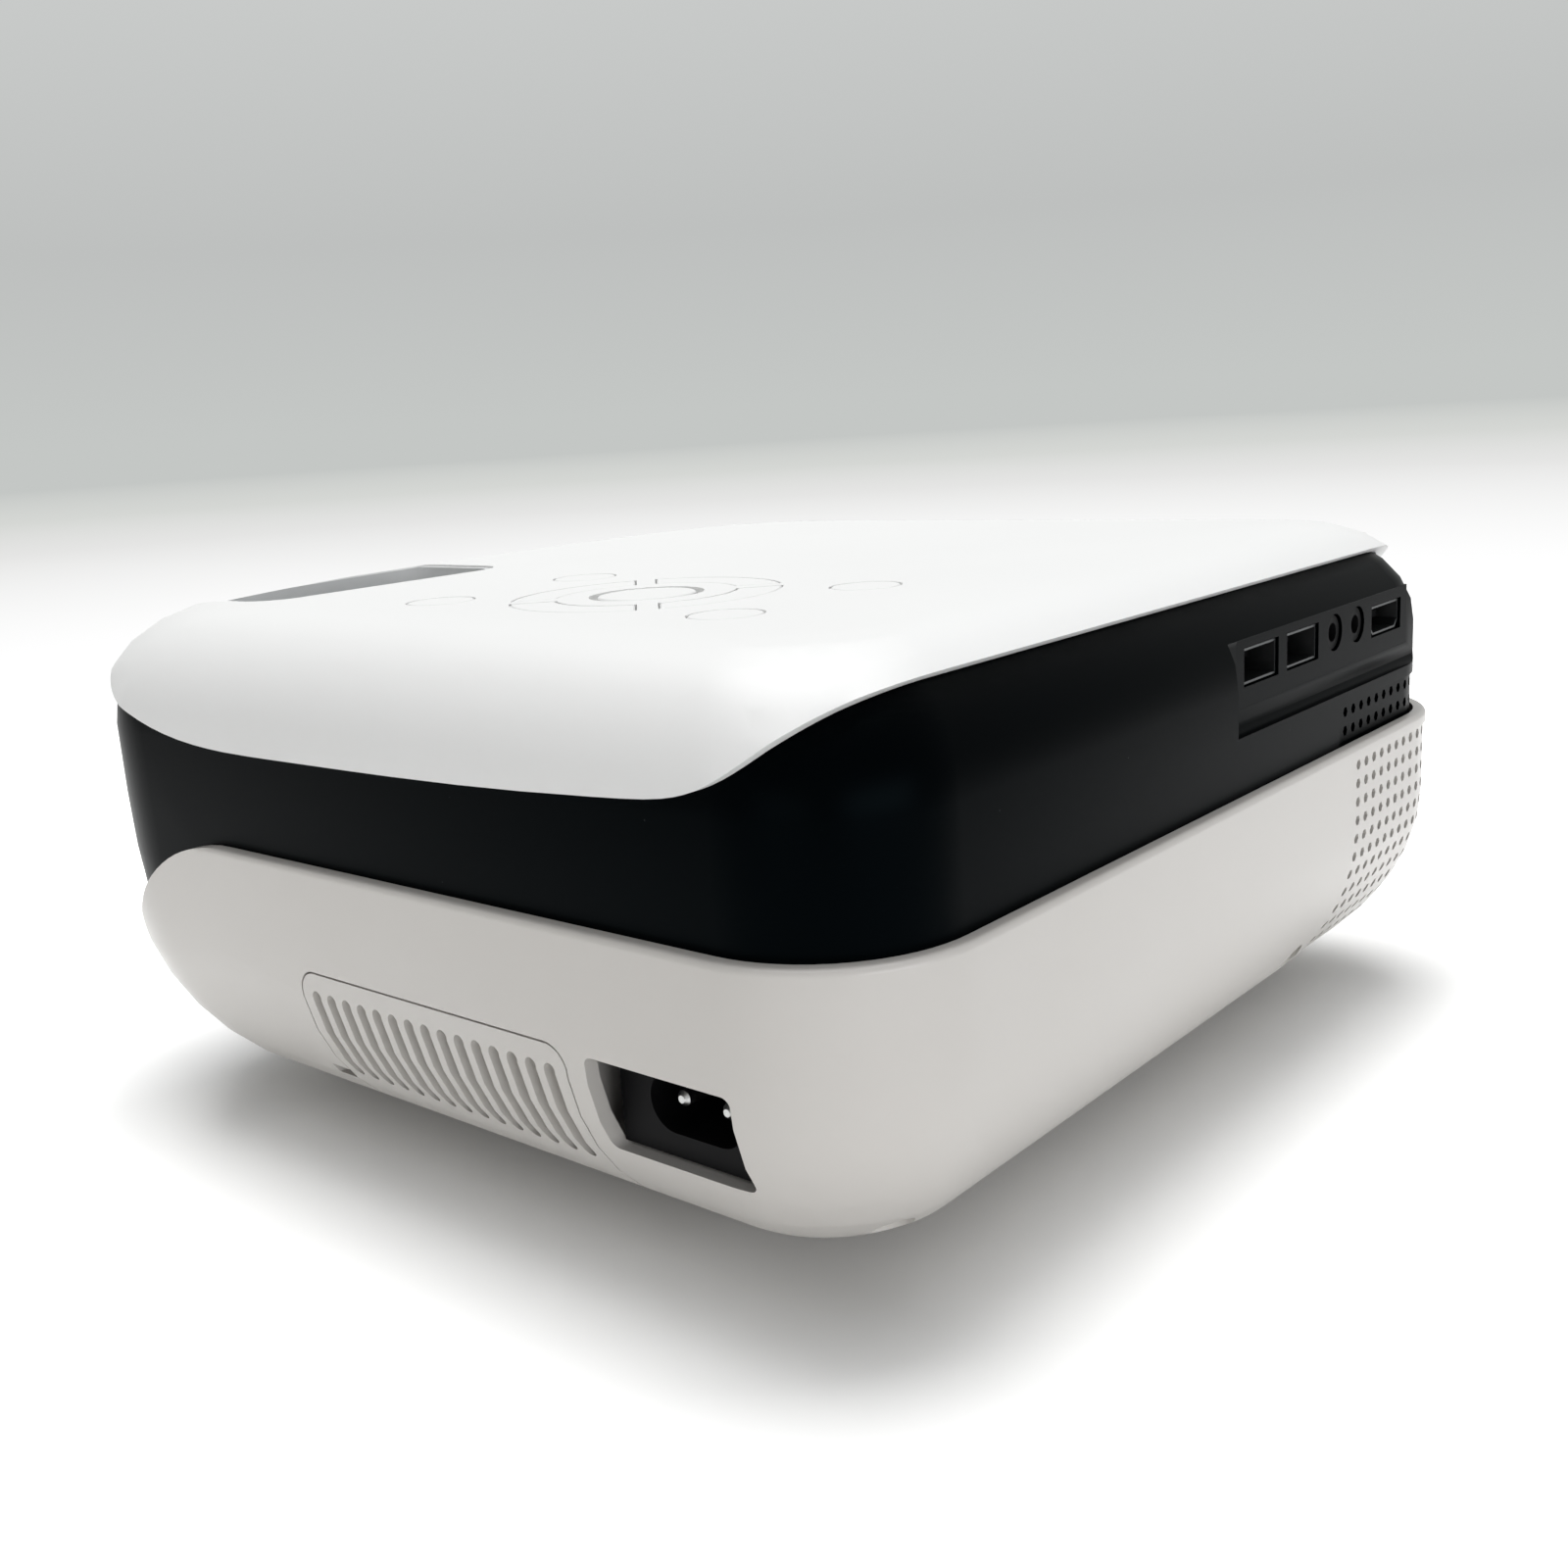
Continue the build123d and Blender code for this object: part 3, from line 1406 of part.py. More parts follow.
with BuildPart() as light_tunnel:
    block(
        (optic_x - tunnel_size / 2, tunnel_start_y, optic_z - tunnel_size / 2),
        (optic_x + tunnel_size / 2, tunnel_end_y, optic_z + tunnel_size / 2),
    )
    block(
        (optic_x - tunnel_inside, tunnel_start_y, tunnel_floor_z),
        (optic_x + tunnel_inside, tunnel_end_y, optic_z + tunnel_inside),
        mode=Mode.SUBTRACT,
    )
    vent_long, vent_high = tunnel_vent
    for y in tunnel_vent_places:
        block(
            (optic_x - tunnel_size, y - vent_long / 2, optic_z - vent_high / 2),
            (optic_x + tunnel_size, y + vent_long / 2, optic_z + vent_high / 2),
            mode=Mode.SUBTRACT,
        )
    rod(
        (optic_x - tunnel_size, lcd_y, optic_z),
        (1, 0, 0),
        2 * tunnel_size,
        lcd_pin_radius + lcd_pin_gap,
        mode=Mode.SUBTRACT,
    )
    leg_width, leg_thickness = tunnel_leg
    for y in tunnel_leg_places:
        block(
            (optic_x - leg_width / 2, y - leg_thickness / 2, floor_z),
            (optic_x + leg_width / 2, y + leg_thickness / 2, optic_z - tunnel_size / 2),
        )

with BuildPart() as lcd_panel:
    block(
        (optic_x - lcd_width / 2, lcd_y - lcd_thickness / 2, optic_z - lcd_height / 2),
        (optic_x + lcd_width / 2, lcd_y + lcd_thickness / 2, optic_z + lcd_height / 2),
    )
    for side in (-1, 1):
        block(
            (
                optic_x - lcd_width / 2 + lcd_frame,
                lcd_y + side * lcd_thickness / 2 - lcd_recess,
                optic_z - lcd_height / 2 + lcd_frame,
            ),
            (
                optic_x + lcd_width / 2 - lcd_frame,
                lcd_y + side * lcd_thickness / 2 + lcd_recess,
                optic_z + lcd_height / 2 - lcd_frame,
            ),
            mode=Mode.SUBTRACT,
        )
        rod(
            (optic_x + side * lcd_width / 2, lcd_y, optic_z),
            (side, 0, 0),
            (tunnel_size - lcd_width) / 2,
            lcd_pin_radius,
        )

with BuildPart() as fresnel_lenses:
    for y in fresnel_places:
        block(
            (optic_x - tunnel_inside + optic_side_gap, y - fresnel_thickness / 2, tunnel_floor_z),
            (
                optic_x + tunnel_inside - optic_side_gap,
                y + fresnel_thickness / 2,
                optic_z + tunnel_inside - optic_side_gap,
            ),
        )

with BuildPart() as condenser_lens:
    block(
        (optic_x - tunnel_inside + optic_side_gap, condenser_y, tunnel_floor_z),
        (
            optic_x + tunnel_inside - optic_side_gap,
            condenser_y + condenser_edge,
            optic_z + tunnel_inside - optic_side_gap,
        ),
    )
    with BuildSketch(Plane.XY.offset(optic_z)):
        with BuildLine():
            dome = crown_points(condenser_radius, condenser_y, -condenser_crown)
            Polyline(*dome, (optic_x, condenser_y), close=True)
        make_face()
    revolve(axis=optic_axis)

with BuildPart() as led_board:
    block(
        (optic_x - led_board_size / 2, tunnel_end_y, optic_z - led_board_size / 2),
        (
            optic_x + led_board_size / 2,
            tunnel_end_y + led_board_thickness,
            optic_z + led_board_size / 2,
        ),
    )
    block(
        (optic_x - led_size / 2, tunnel_end_y - led_height, optic_z - led_size / 2),
        (optic_x + led_size / 2, tunnel_end_y, optic_z + led_size / 2),
    )

sink_y = tunnel_end_y + led_board_thickness

with BuildPart() as heat_sink:
    block(
        (optic_x - sink_size / 2, sink_y, optic_z - sink_size / 2),
        (optic_x + sink_size / 2, sink_y + sink_base, optic_z + sink_size / 2),
    )
    with Locations((optic_x, sink_y + sink_depth / 2, optic_z)):
        with GridLocations((sink_size - sink_fin_thickness) / (sink_fins - 1), sink_size, sink_fins, 1):
            Box(sink_fin_thickness, sink_depth, sink_size)

# ---------------------------------------------------------------- disc drive
with BuildPart() as drive_chassis:
    block((drive_mouth_x, drive_low_y, drive_base_z), (drive_end_x, drive_high_y, drive_top_z))
    block(
        (drive_mouth_x, drive_low_y + drive_sheet, drive_base_z + drive_sheet),
        (drive_end_x - drive_sheet, drive_high_y - drive_sheet, drive_top_z - drive_sheet),
        mode=Mode.SUBTRACT,
    )
    for x, y in drive_dimples:
        rod((x, y, drive_top_z), (0, 0, 1), drive_dimple_height, drive_dimple_radius)

rail_outer = drive_width / 2 - drive_sheet - rail_side_gap
rail_inner = rail_outer - rail_thickness
rail_low_z = drive_base_z + drive_sheet + rail_floor_gap
groove_z = rail_low_z + rail_height / 2
tray_inner_half = rail_inner - tray_rail_gap

with BuildPart() as tray_rails:
    for side in (-1, 1):
        with Locations((drive_mouth_x + rail_start + rail_length / 2, drive_middle_y, groove_z)):
            with Locations((0, side * (rail_outer + rail_inner) / 2, 0)):
                Box(rail_length, rail_thickness, rail_height)
            with Locations((0, side * (rail_inner + rail_groove_depth / 2), 0)):
                Box(rail_length, rail_groove_depth, rail_groove_height, mode=Mode.SUBTRACT)

with BuildPart() as disc_tray:
    block(
        (tray_front_x, drive_middle_y - tray_half_width, tray_flange_z),
        (tray_front_x + tray_length, drive_middle_y + tray_half_width, tray_top_z),
    )
    fillet(disc_tray.edges().filter_by(Axis.Z).group_by(Axis.X)[-1], tray_corner)
    block(
        (tray_front_x, drive_middle_y - tray_inner_half, tray_low_z),
        (tray_front_x + tray_length, drive_middle_y + tray_inner_half, tray_flange_z),
    )
    block(
        (tray_front_x + tray_wall, drive_middle_y - tray_inner_half + tray_wall, tray_low_z),
        (
            tray_front_x + tray_length - tray_wall,
            drive_middle_y + tray_inner_half - tray_wall,
            tray_plate_z,
        ),
        mode=Mode.SUBTRACT,
    )
    for side in (-1, 1):
        with Locations((tray_front_x + tray_length / 2, drive_middle_y, groove_z)):
            with Locations((0, side * (rail_inner + rail_groove_depth - tongue_gap - tongue_width / 2), 0)):
                Box(tray_length, tongue_width, rail_groove_height - 2 * tongue_gap)
    for x, y in traverse_posts:
        rod(
            (disc_x + x, drive_middle_y + y, traverse_z + traverse_thickness),
            (0, 0, 1),
            tray_plate_z - traverse_z - traverse_thickness,
            traverse_post_radius,
        )
    rod(
        (disc_x, drive_middle_y, tray_top_z),
        (0, 0, -1),
        disc_well_depth,
        disc_radius + disc_clearance,
        mode=Mode.SUBTRACT,
    )
    rod(
        (disc_x, drive_middle_y, tray_top_z),
        (0, 0, -1),
        disc_well_depth + small_disc_depth,
        small_disc_radius,
        mode=Mode.SUBTRACT,
    )
    with BuildSketch(Plane.XY.offset(tray_low_z)):
        with Locations((disc_x, drive_middle_y)):
            Circle(hub_window_radius)
        with Locations((disc_x + sled_window_end / 2, drive_middle_y)):
            RectangleRounded(sled_window_end, sled_window_width, sled_window_corner)
    extrude(amount=tray_top_z - tray_low_z, mode=Mode.SUBTRACT)
    eject_y = drive_middle_y + eject_offset_y
    eject_room = eject_width / 2 + eject_flange + eject_gap
    block(
        (tray_front_x, eject_y - eject_room, tray_low_z),
        (tray_front_x + tray_wall, eject_y + eject_room, tray_plate_z),
        mode=Mode.SUBTRACT,
    )

with BuildPart() as tray_bezel:
    block((bezel_x, drive_low_y, drive_base_z), (tray_front_x, drive_high_y, drive_top_z))
    chamfer(tray_bezel.edges().group_by(Axis.X)[0], bezel_edge)
    block(
        (bezel_x, eject_y - eject_width / 2 - eject_gap, eject_z - eject_height / 2 - eject_gap),
        (tray_front_x, eject_y + eject_width / 2 + eject_gap, eject_z + eject_height / 2 + eject_gap),
        mode=Mode.SUBTRACT,
    )
    rod(
        (bezel_x, drive_middle_y + pinhole_offset_y, eject_z),
        (1, 0, 0),
        bezel_thickness,
        pinhole_radius,
        mode=Mode.SUBTRACT,
    )

with BuildPart() as eject_button:
    block(
        (bezel_x - eject_proud, eject_y - eject_width / 2, eject_z - eject_height / 2),
        (tray_front_x + press_gap, eject_y + eject_width / 2, eject_z + eject_height / 2),
    )
    chamfer(eject_button.edges().group_by(Axis.X)[0], eject_proud)
    block(
        (
            tray_front_x + press_gap,
            eject_y - eject_width / 2 - eject_flange,
            eject_z - eject_height / 2 - eject_flange,
        ),
        (
            tray_front_x + press_gap + eject_flange_thickness,
            eject_y + eject_width / 2 + eject_flange,
            eject_z + eject_height / 2 + eject_flange,
        ),
    )

motor_z = traverse_z + traverse_thickness
turntable_z = motor_z + motor_height + turntable_gap
rod_z = sled_low_z + sled_height / 2

with BuildPart() as spindle_motor:
    block(
        (disc_x + traverse_low, drive_middle_y - traverse_half_width, traverse_z),
        (disc_x + traverse_high, drive_middle_y + traverse_half_width, motor_z),
    )
    opening_start, opening_end, opening_half = traverse_opening
    block(
        (disc_x + opening_start, drive_middle_y - opening_half, traverse_z),
        (disc_x + opening_end, drive_middle_y + opening_half, motor_z),
        mode=Mode.SUBTRACT,
    )
    rod((disc_x, drive_middle_y, motor_z), (0, 0, 1), motor_height, motor_radius)
    rod(
        (disc_x, drive_middle_y, motor_z + motor_floor),
        (0, 0, 1),
        motor_height,
        hub_shaft_radius + hub_shaft_gap,
        mode=Mode.SUBTRACT,
    )
    for side in (-1, 1):
        y = drive_middle_y + side * rod_spread
        for start in (rod_start, rod_end - rod_block):
            block(
                (disc_x + start, y - rod_block_width / 2, motor_z),
                (disc_x + start + rod_block, y + rod_block_width / 2, sled_low_z + sled_height),
            )
        rod(
            (disc_x + rod_start, y, rod_z),
            (1, 0, 0),
            rod_end - rod_start,
            rod_radius + press_gap,
            mode=Mode.SUBTRACT,
        )

with BuildPart() as spindle_hub:
    rod((disc_x, drive_middle_y, turntable_z), (0, 0, 1), turntable_height, turntable_radius)
    rod((disc_x, drive_middle_y, turntable_z + turntable_height), (0, 0, 1), hub_height, hub_radius)
    chamfer(spindle_hub.edges().group_by(Axis.Z)[-1], hub_chamfer)
    rod(
        (disc_x, drive_middle_y, turntable_z),
        (0, 0, -1),
        motor_height - motor_floor,
        hub_shaft_radius,
    )

with BuildPart() as sled_rods:
    for side in (-1, 1):
        rod(
            (disc_x + rod_start, drive_middle_y + side * rod_spread, rod_z),
            (1, 0, 0),
            rod_end - rod_start,
            rod_radius,
        )

with BuildPart() as laser_sled:
    with Locations((disc_x + sled_start, drive_middle_y, rod_z)):
        Box(sled_length, sled_width, sled_height)
    with Locations((disc_x + sled_start, drive_middle_y, sled_low_z + sled_height + sled_head_height / 2)):
        Box(sled_head_length, sled_head_width, sled_head_height)
    rod(
        (disc_x + sled_start, drive_middle_y, sled_low_z + sled_height + sled_head_height),
        (0, 0, 1),
        sled_lens_height,
        sled_lens_radius,
    )
    for side in (-1, 1):
        rod(
            (disc_x + sled_start - sled_length, drive_middle_y + side * rod_spread, rod_z),
            (1, 0, 0),
            2 * sled_length,
            rod_radius + rod_gap,
            mode=Mode.SUBTRACT,
        )

# ---------------------------------------------------------------- write every piece
pieces = {
    "lower_shell": lower_shell,
    "middle_shell": middle_shell,
    "port_panel": port_panel,
    "top_cover": top_cover,
    "speaker_grille": speaker_grille,
    "band_grille": band_grille,
    "exhaust_grille": exhaust_grille,
    "filter_cover": filter_cover,
    "dust_filter": dust_filter,
    "window_bezel": window_bezel,
    "lens_bezel": lens_bezel,
    "ir_window": ir_window,
    "rubber_feet": rubber_feet,
    "levelling_foot": levelling_foot,
    "tripod_insert": tripod_insert,
    "case_screws": case_screws,
    "key_board": key_board,
    "main_board": main_board,
    "socket_shells": socket_shells,
    "socket_tongues": socket_tongues,
    "audio_jacks": audio_jacks,
    "power_inlet": power_inlet,
    "inlet_pins": inlet_pins,
    "power_board": power_board,
    "power_transformer": power_transformer,
    "speaker": speaker,
    "lens_housing": lens_housing,
    "lens_barrel": lens_barrel,
    "front_lens": front_lens,
    "rear_lens": rear_lens,
    "focus_ring": focus_ring,
    "keystone_ring": keystone_ring,
    "light_tunnel": light_tunnel,
    "lcd_panel": lcd_panel,
    "fresnel_lenses": fresnel_lenses,
    "condenser_lens": condenser_lens,
    "led_board": led_board,
    "heat_sink": heat_sink,
    "intake_fan_frame": intake_fan_frame,
    "intake_fan_rotor": intake_fan_rotor,
    "exhaust_fan_frame": exhaust_fan_frame,
    "exhaust_fan_rotor": exhaust_fan_rotor,
    "drive_chassis": drive_chassis,
    "tray_rails": tray_rails,
    "disc_tray": disc_tray,
    "tray_bezel": tray_bezel,
    "eject_button": eject_button,
    "spindle_motor": spindle_motor,
    "spindle_hub": spindle_hub,
    "sled_rods": sled_rods,
    "laser_sled": laser_sled,
}
pieces.update(keys)

os.makedirs("parts", exist_ok=True)
for name, piece in pieces.items():
    piece.part.label = name
    export_step(piece.part, f"parts/{name}.step")
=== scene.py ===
# %% [markdown]
# # A home projector with a disc tray, dressed for the camera
# The solids come from CAD and are already to size. This script gives them their finishes, lets light
# flow over their joined faces, and sets up a plain studio round them.
# Lengths are in metres, as everywhere in Blender. +Y is the back with the sockets, +X the side with
# the filter cover, +Z is up.

# %% Load the fixed frame
import bpy
import math
from mathutils import Matrix, Vector

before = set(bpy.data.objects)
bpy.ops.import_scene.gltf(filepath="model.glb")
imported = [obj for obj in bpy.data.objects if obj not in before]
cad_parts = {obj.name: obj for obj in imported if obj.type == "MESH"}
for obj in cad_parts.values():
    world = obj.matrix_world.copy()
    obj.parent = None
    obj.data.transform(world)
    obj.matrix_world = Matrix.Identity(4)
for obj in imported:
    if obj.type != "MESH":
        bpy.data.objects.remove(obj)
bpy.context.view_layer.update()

# %% [markdown]
# ## Small tools
# Colours are noted as sRGB hex, the way a paint chart gives them, and turned to the linear values
# that shaders compute with. Pattern sizes are noted in millimetres. One function adds a shader node,
# sets its values and links it, so that a material reads as a list of what is in it.
# Blender's Mix node has a set of sockets for each kind of data, so its colour ones go by number.

# %% Colour, pattern size and node tools
MM = 0.001
MIX_FACTOR, MIX_A, MIX_B, MIX_RESULT = 0, 6, 7, 2


def hex_colour(code):
    """An sRGB hex code as linear red, green, blue and full alpha."""
    channels = [int(code[i : i + 2], 16) / 255 for i in (1, 3, 5)]
    linear = [c / 12.92 if c <= 0.04045 else ((c + 0.055) / 1.055) ** 2.4 for c in channels]
    return (*linear, 1.0)


def repeats(millimetres):
    """The texture scale at which one feature of a pattern is this wide."""
    return 1 / (millimetres * MM)


def wave_repeats(millimetres):
    """The same for a Wave texture, which draws 20 / (2 pi) waves where others draw one feature."""
    return repeats(millimetres) / (20 / (2 * math.pi))


def add_node(tree, kind, values=None, links=None, **settings):
    """Adds one node: settings on the node, values on its sockets, links into its sockets."""
    node = tree.nodes.new(kind)
    for name, value in settings.items():
        setattr(node, name, value)
    for name, value in (values or {}).items():
        node.inputs[name].default_value = value
    for name, socket in (links or {}).items():
        tree.links.new(socket, node.inputs[name])
    return node


def start_material(name, colour, roughness, **values):
    """A material with one Principled shader, its constants set on the shader itself."""
    material = bpy.data.materials.new(name)
    material.use_nodes = True
    tree = material.node_tree
    shader = tree.nodes["Principled BSDF"]
    shader.inputs["Base Color"].default_value = hex_colour(colour)
    shader.inputs["Roughness"].default_value = roughness
    for socket, value in values.items():
        shader.inputs[socket.replace("_", " ")].default_value = value
    material.diffuse_color = hex_colour(colour)
    place = add_node(tree, "ShaderNodeTexCoord").outputs["Object"]
    return material, tree, shader, place


def vary_colour(tree, shader, factor, first, second):
    """The base colour wanders between two close tones."""
    mix = add_node(
        tree,
        "ShaderNodeMix",
        {MIX_A: hex_colour(first), MIX_B: hex_colour(second)},
        {MIX_FACTOR: factor},
        data_type="RGBA",
    )
    tree.links.new(mix.outputs[MIX_RESULT], shader.inputs["Base Color"])


def raise_surface(tree, shader, height, strength, depth):
    """Turns a height pattern into small relief of this real depth."""
    bump = add_node(
        tree, "ShaderNodeBump", {"Strength": strength, "Distance": depth * MM}, {"Height": height}
    )
    tree.links.new(bump.outputs["Normal"], shader.inputs["Normal"])


# %% [markdown]
# ## White ABS, moulded against a finely etched tool
# The lid and the keys are acrylonitrile butadiene styrene, the usual plastic for housings. The
# steel mould is etched, so the surface has a very fine grain: it looks dead flat from a step away,
# and only spreads its highlights. Real grain is about 0.15 mm and too fine to show here, so it is
# drawn at 0.5 mm and shallow.

# %% Etched white ABS for the lid and the keys
etched_white_abs, tree, shader, place = start_material("etched_white_abs", "#F8F8F7", roughness=0.46)
grain = add_node(tree, "ShaderNodeTexNoise", {"Scale": repeats(0.5), "Detail": 3.0}, {"Vector": place})
tone = add_node(tree, "ShaderNodeTexNoise", {"Scale": repeats(60)}, {"Vector": place})
vary_colour(tree, shader, tone.outputs["Fac"], "#F6F6F5", "#FAFAF9")
raise_surface(tree, shader, grain.outputs["Fac"], strength=0.15, depth=0.02)
print("made", etched_white_abs.name)

# %% [markdown]
# ## White ABS with a satin skin
# The lower shell comes from a smoother mould. It is a touch warmer and shinier than the lid, so it
# picks up soft streaks of its surroundings. The mould's polish leaves a faint waviness a few
# millimetres wide, and that is what keeps the highlights from looking computed.

# %% Satin white ABS for the lower shell and its grilles
satin_white_abs, tree, shader, place = start_material("satin_white_abs", "#D5D2CD", roughness=0.3)
waves = add_node(tree, "ShaderNodeTexNoise", {"Scale": repeats(9), "Detail": 1.0}, {"Vector": place})
tone = add_node(tree, "ShaderNodeTexNoise", {"Scale": repeats(45)}, {"Vector": place})
vary_colour(tree, shader, tone.outputs["Fac"], "#D3CFCA", "#D8D5D1")
raise_surface(tree, shader, waves.outputs["Fac"], strength=0.1, depth=0.03)
print("made", satin_white_abs.name)

# %% [markdown]
# ## Black lacquered ABS
# The middle band is sprayed black after moulding. Lacquer flows out almost level and keeps a slight
# orange peel, about 1.5 mm wide. A low specular level keeps it deep black where it is seen face on,
# and it still greys towards its edges, as lacquer does. It shows the odd speck of dust: a Voronoi
# pattern with a tight threshold puts a pale dot here and there.

# %% Black lacquer for the band and the tray's front
DUST_SPECK = 0.022

black_lacquer, tree, shader, place = start_material(
    "black_lacquer",
    "#010203",
    roughness=0.32,
    Specular_IOR_Level=0.022,
    Specular_Tint=hex_colour("#B4DCEA"),
)
peel = add_node(tree, "ShaderNodeTexNoise", {"Scale": repeats(1.5), "Detail": 1.0}, {"Vector": place})
dust = add_node(tree, "ShaderNodeTexVoronoi", {"Scale": repeats(7)}, {"Vector": place})
speck = add_node(
    tree, "ShaderNodeMath", {1: DUST_SPECK}, {0: dust.outputs["Distance"]}, operation="LESS_THAN"
)
vary_colour(tree, shader, speck.outputs["Value"], "#010203", "#2A2C2D")
raise_surface(tree, shader, peel.outputs["Fac"], strength=0.08, depth=0.03)
print("made", black_lacquer.name)

# %% [markdown]
# ## Grey and dark moulded plastics
# Inside the adjuster window the plastic is light grey with a matt skin. The working parts, such as fan
# frames, tray and lens barrel, are near-black glass-filled nylon and ABS: a coarser skin, and a
# slight unevenness where the melt froze.

# %% Matt grey ABS and black nylon
matt_grey_abs, tree, shader, place = start_material("matt_grey_abs", "#DCDDDD", roughness=0.5)
grain = add_node(tree, "ShaderNodeTexNoise", {"Scale": repeats(0.6), "Detail": 2.0}, {"Vector": place})
tone = add_node(tree, "ShaderNodeTexNoise", {"Scale": repeats(20)}, {"Vector": place})
vary_colour(tree, shader, tone.outputs["Fac"], "#D8D9D9", "#E1E2E2")
raise_surface(tree, shader, grain.outputs["Fac"], strength=0.2, depth=0.03)

black_nylon, tree, shader, place = start_material("black_nylon", "#191A1C", roughness=0.48)
grain = add_node(tree, "ShaderNodeTexNoise", {"Scale": repeats(0.7), "Detail": 4.0}, {"Vector": place})
tone = add_node(tree, "ShaderNodeTexNoise", {"Scale": repeats(14)}, {"Vector": place})
vary_colour(tree, shader, tone.outputs["Fac"], "#151617", "#1F2022")
raise_surface(tree, shader, grain.outputs["Fac"], strength=0.3, depth=0.04)
print("made", matt_grey_abs.name, black_nylon.name)

# %% [markdown]
# ## Black PBT for the connectors
# Connectors are moulded in polybutylene terephthalate, which stands the heat of soldering. It is
# filled with soot-black pigment and comes out of its mould matt, so a deep inlet looks like a hole.
# The finish is the blackest of all and hardly reflects; flow marks about 5 mm long give it some life.

# %% Matt black PBT for the inlet, the jacks and the sockets' tongues
black_pbt, tree, shader, place = start_material(
    "black_pbt", "#050506", roughness=0.6, Specular_IOR_Level=0.12
)
flow = add_node(tree, "ShaderNodeTexNoise", {"Scale": repeats(5), "Detail": 2.0}, {"Vector": place})
vary_colour(tree, shader, flow.outputs["Fac"], "#030304", "#08080A")
raise_surface(tree, shader, flow.outputs["Fac"], strength=0.2, depth=0.03)
print("made", black_pbt.name)

# %% [markdown]
# ## Rubber, foam and speaker paper
# Silicone rubber feet are matt and take up dust. The dust filter is reticulated foam, an open net of
# cells about 1.5 mm wide, here in pale grey, with each cell darker towards its middle: painted shade
# in its open pore. The speaker's cone is pressed paper, fibrous and dull.

# %% Silicone rubber, reticulated foam and pressed paper
silicone_rubber, tree, shader, place = start_material("silicone_rubber", "#1B1B1B", roughness=0.72)
dusty = add_node(tree, "ShaderNodeTexNoise", {"Scale": repeats(3), "Detail": 5.0}, {"Vector": place})
vary_colour(tree, shader, dusty.outputs["Fac"], "#161616", "#262625")
raise_surface(tree, shader, dusty.outputs["Fac"], strength=0.3, depth=0.05)

reticulated_foam, tree, shader, place = start_material("reticulated_foam", "#A9A8A5", roughness=0.9)
cells = add_node(
    tree, "ShaderNodeTexVoronoi", {"Scale": repeats(1.5)}, {"Vector": place}, feature="DISTANCE_TO_EDGE"
)
# Pale struts, darker towards each cell's middle: painted shade in the open pores.
vary_colour(tree, shader, cells.outputs["Distance"], "#BDBCB9", "#6E6D6B")
raise_surface(tree, shader, cells.outputs["Distance"], strength=0.8, depth=-0.6)

pressed_paper, tree, shader, place = start_material("pressed_paper", "#222323", roughness=0.85)
fibre = add_node(tree, "ShaderNodeTexNoise", {"Scale": repeats(0.8), "Detail": 6.0}, {"Vector": place})
vary_colour(tree, shader, fibre.outputs["Fac"], "#1A1A1A", "#303131")
raise_surface(tree, shader, fibre.outputs["Fac"], strength=0.5, depth=0.08)
print("made", silicone_rubber.name, reticulated_foam.name, pressed_paper.name)

# %% [markdown]
# ## Metals
# Galvanised sheet for the drive's case shows large, faint zinc crystals. Nickel plate on the mains
# pins is bright with soft scratches. The sockets' shells are steel coloured darker than bare plate:
# painted shade, for the dark look they have deep in their recess. Brass is turned, with rings about
# 0.4 mm apart; aluminium for the heat sink is extruded, with lines along one way. A metal keeps the
# default IOR, and its colour is what it reflects.

# %% Galvanised sheet, nickel plate, steel darkened with painted shade, turned brass and extruded aluminium
galvanised_sheet, tree, shader, place = start_material(
    "galvanised_sheet", "#B4B7BA", roughness=0.36, Metallic=1.0
)
spangle = add_node(tree, "ShaderNodeTexVoronoi", {"Scale": repeats(5)}, {"Vector": place})
vary_colour(tree, shader, spangle.outputs["Color"], "#ACAFB2", "#BEC0C2")
raise_surface(tree, shader, spangle.outputs["Distance"], strength=0.1, depth=0.02)

nickel_plate, tree, shader, place = start_material(
    "nickel_plate", "#B0B1B0", roughness=0.3, Metallic=1.0
)
stretch = add_node(tree, "ShaderNodeMapping", {"Scale": (1.0, 8.0, 1.0)}, {"Vector": place})
scratch = add_node(
    tree, "ShaderNodeTexNoise", {"Scale": repeats(0.9)}, {"Vector": stretch.outputs["Vector"]}
)
vary_colour(tree, shader, scratch.outputs["Fac"], "#A4A5A4", "#BCBDBC")
raise_surface(tree, shader, scratch.outputs["Fac"], strength=0.15, depth=0.01)

# The socket shells' steel is coloured darker than bare plate: painted shade of their deep recess, with
# faint random stains.
shade_darkened_steel, tree, shader, place = start_material(
    "shade_darkened_steel", "#4E5051", roughness=0.4, Metallic=1.0
)
stain = add_node(tree, "ShaderNodeTexNoise", {"Scale": repeats(2), "Detail": 3.0}, {"Vector": place})
vary_colour(tree, shader, stain.outputs["Fac"], "#464849", "#585A5B")
raise_surface(tree, shader, stain.outputs["Fac"], strength=0.1, depth=0.01)

turned_brass, tree, shader, place = start_material(
    "turned_brass", "#C9A45A", roughness=0.3, Metallic=1.0
)
rings = add_node(
    tree,
    "ShaderNodeTexWave",
    {"Scale": wave_repeats(0.377)},
    {"Vector": place},
    wave_type="RINGS",
    rings_direction="Z",
)
vary_colour(tree, shader, rings.outputs["Fac"], "#BF9A50", "#D2AE66")
raise_surface(tree, shader, rings.outputs["Fac"], strength=0.2, depth=0.02)

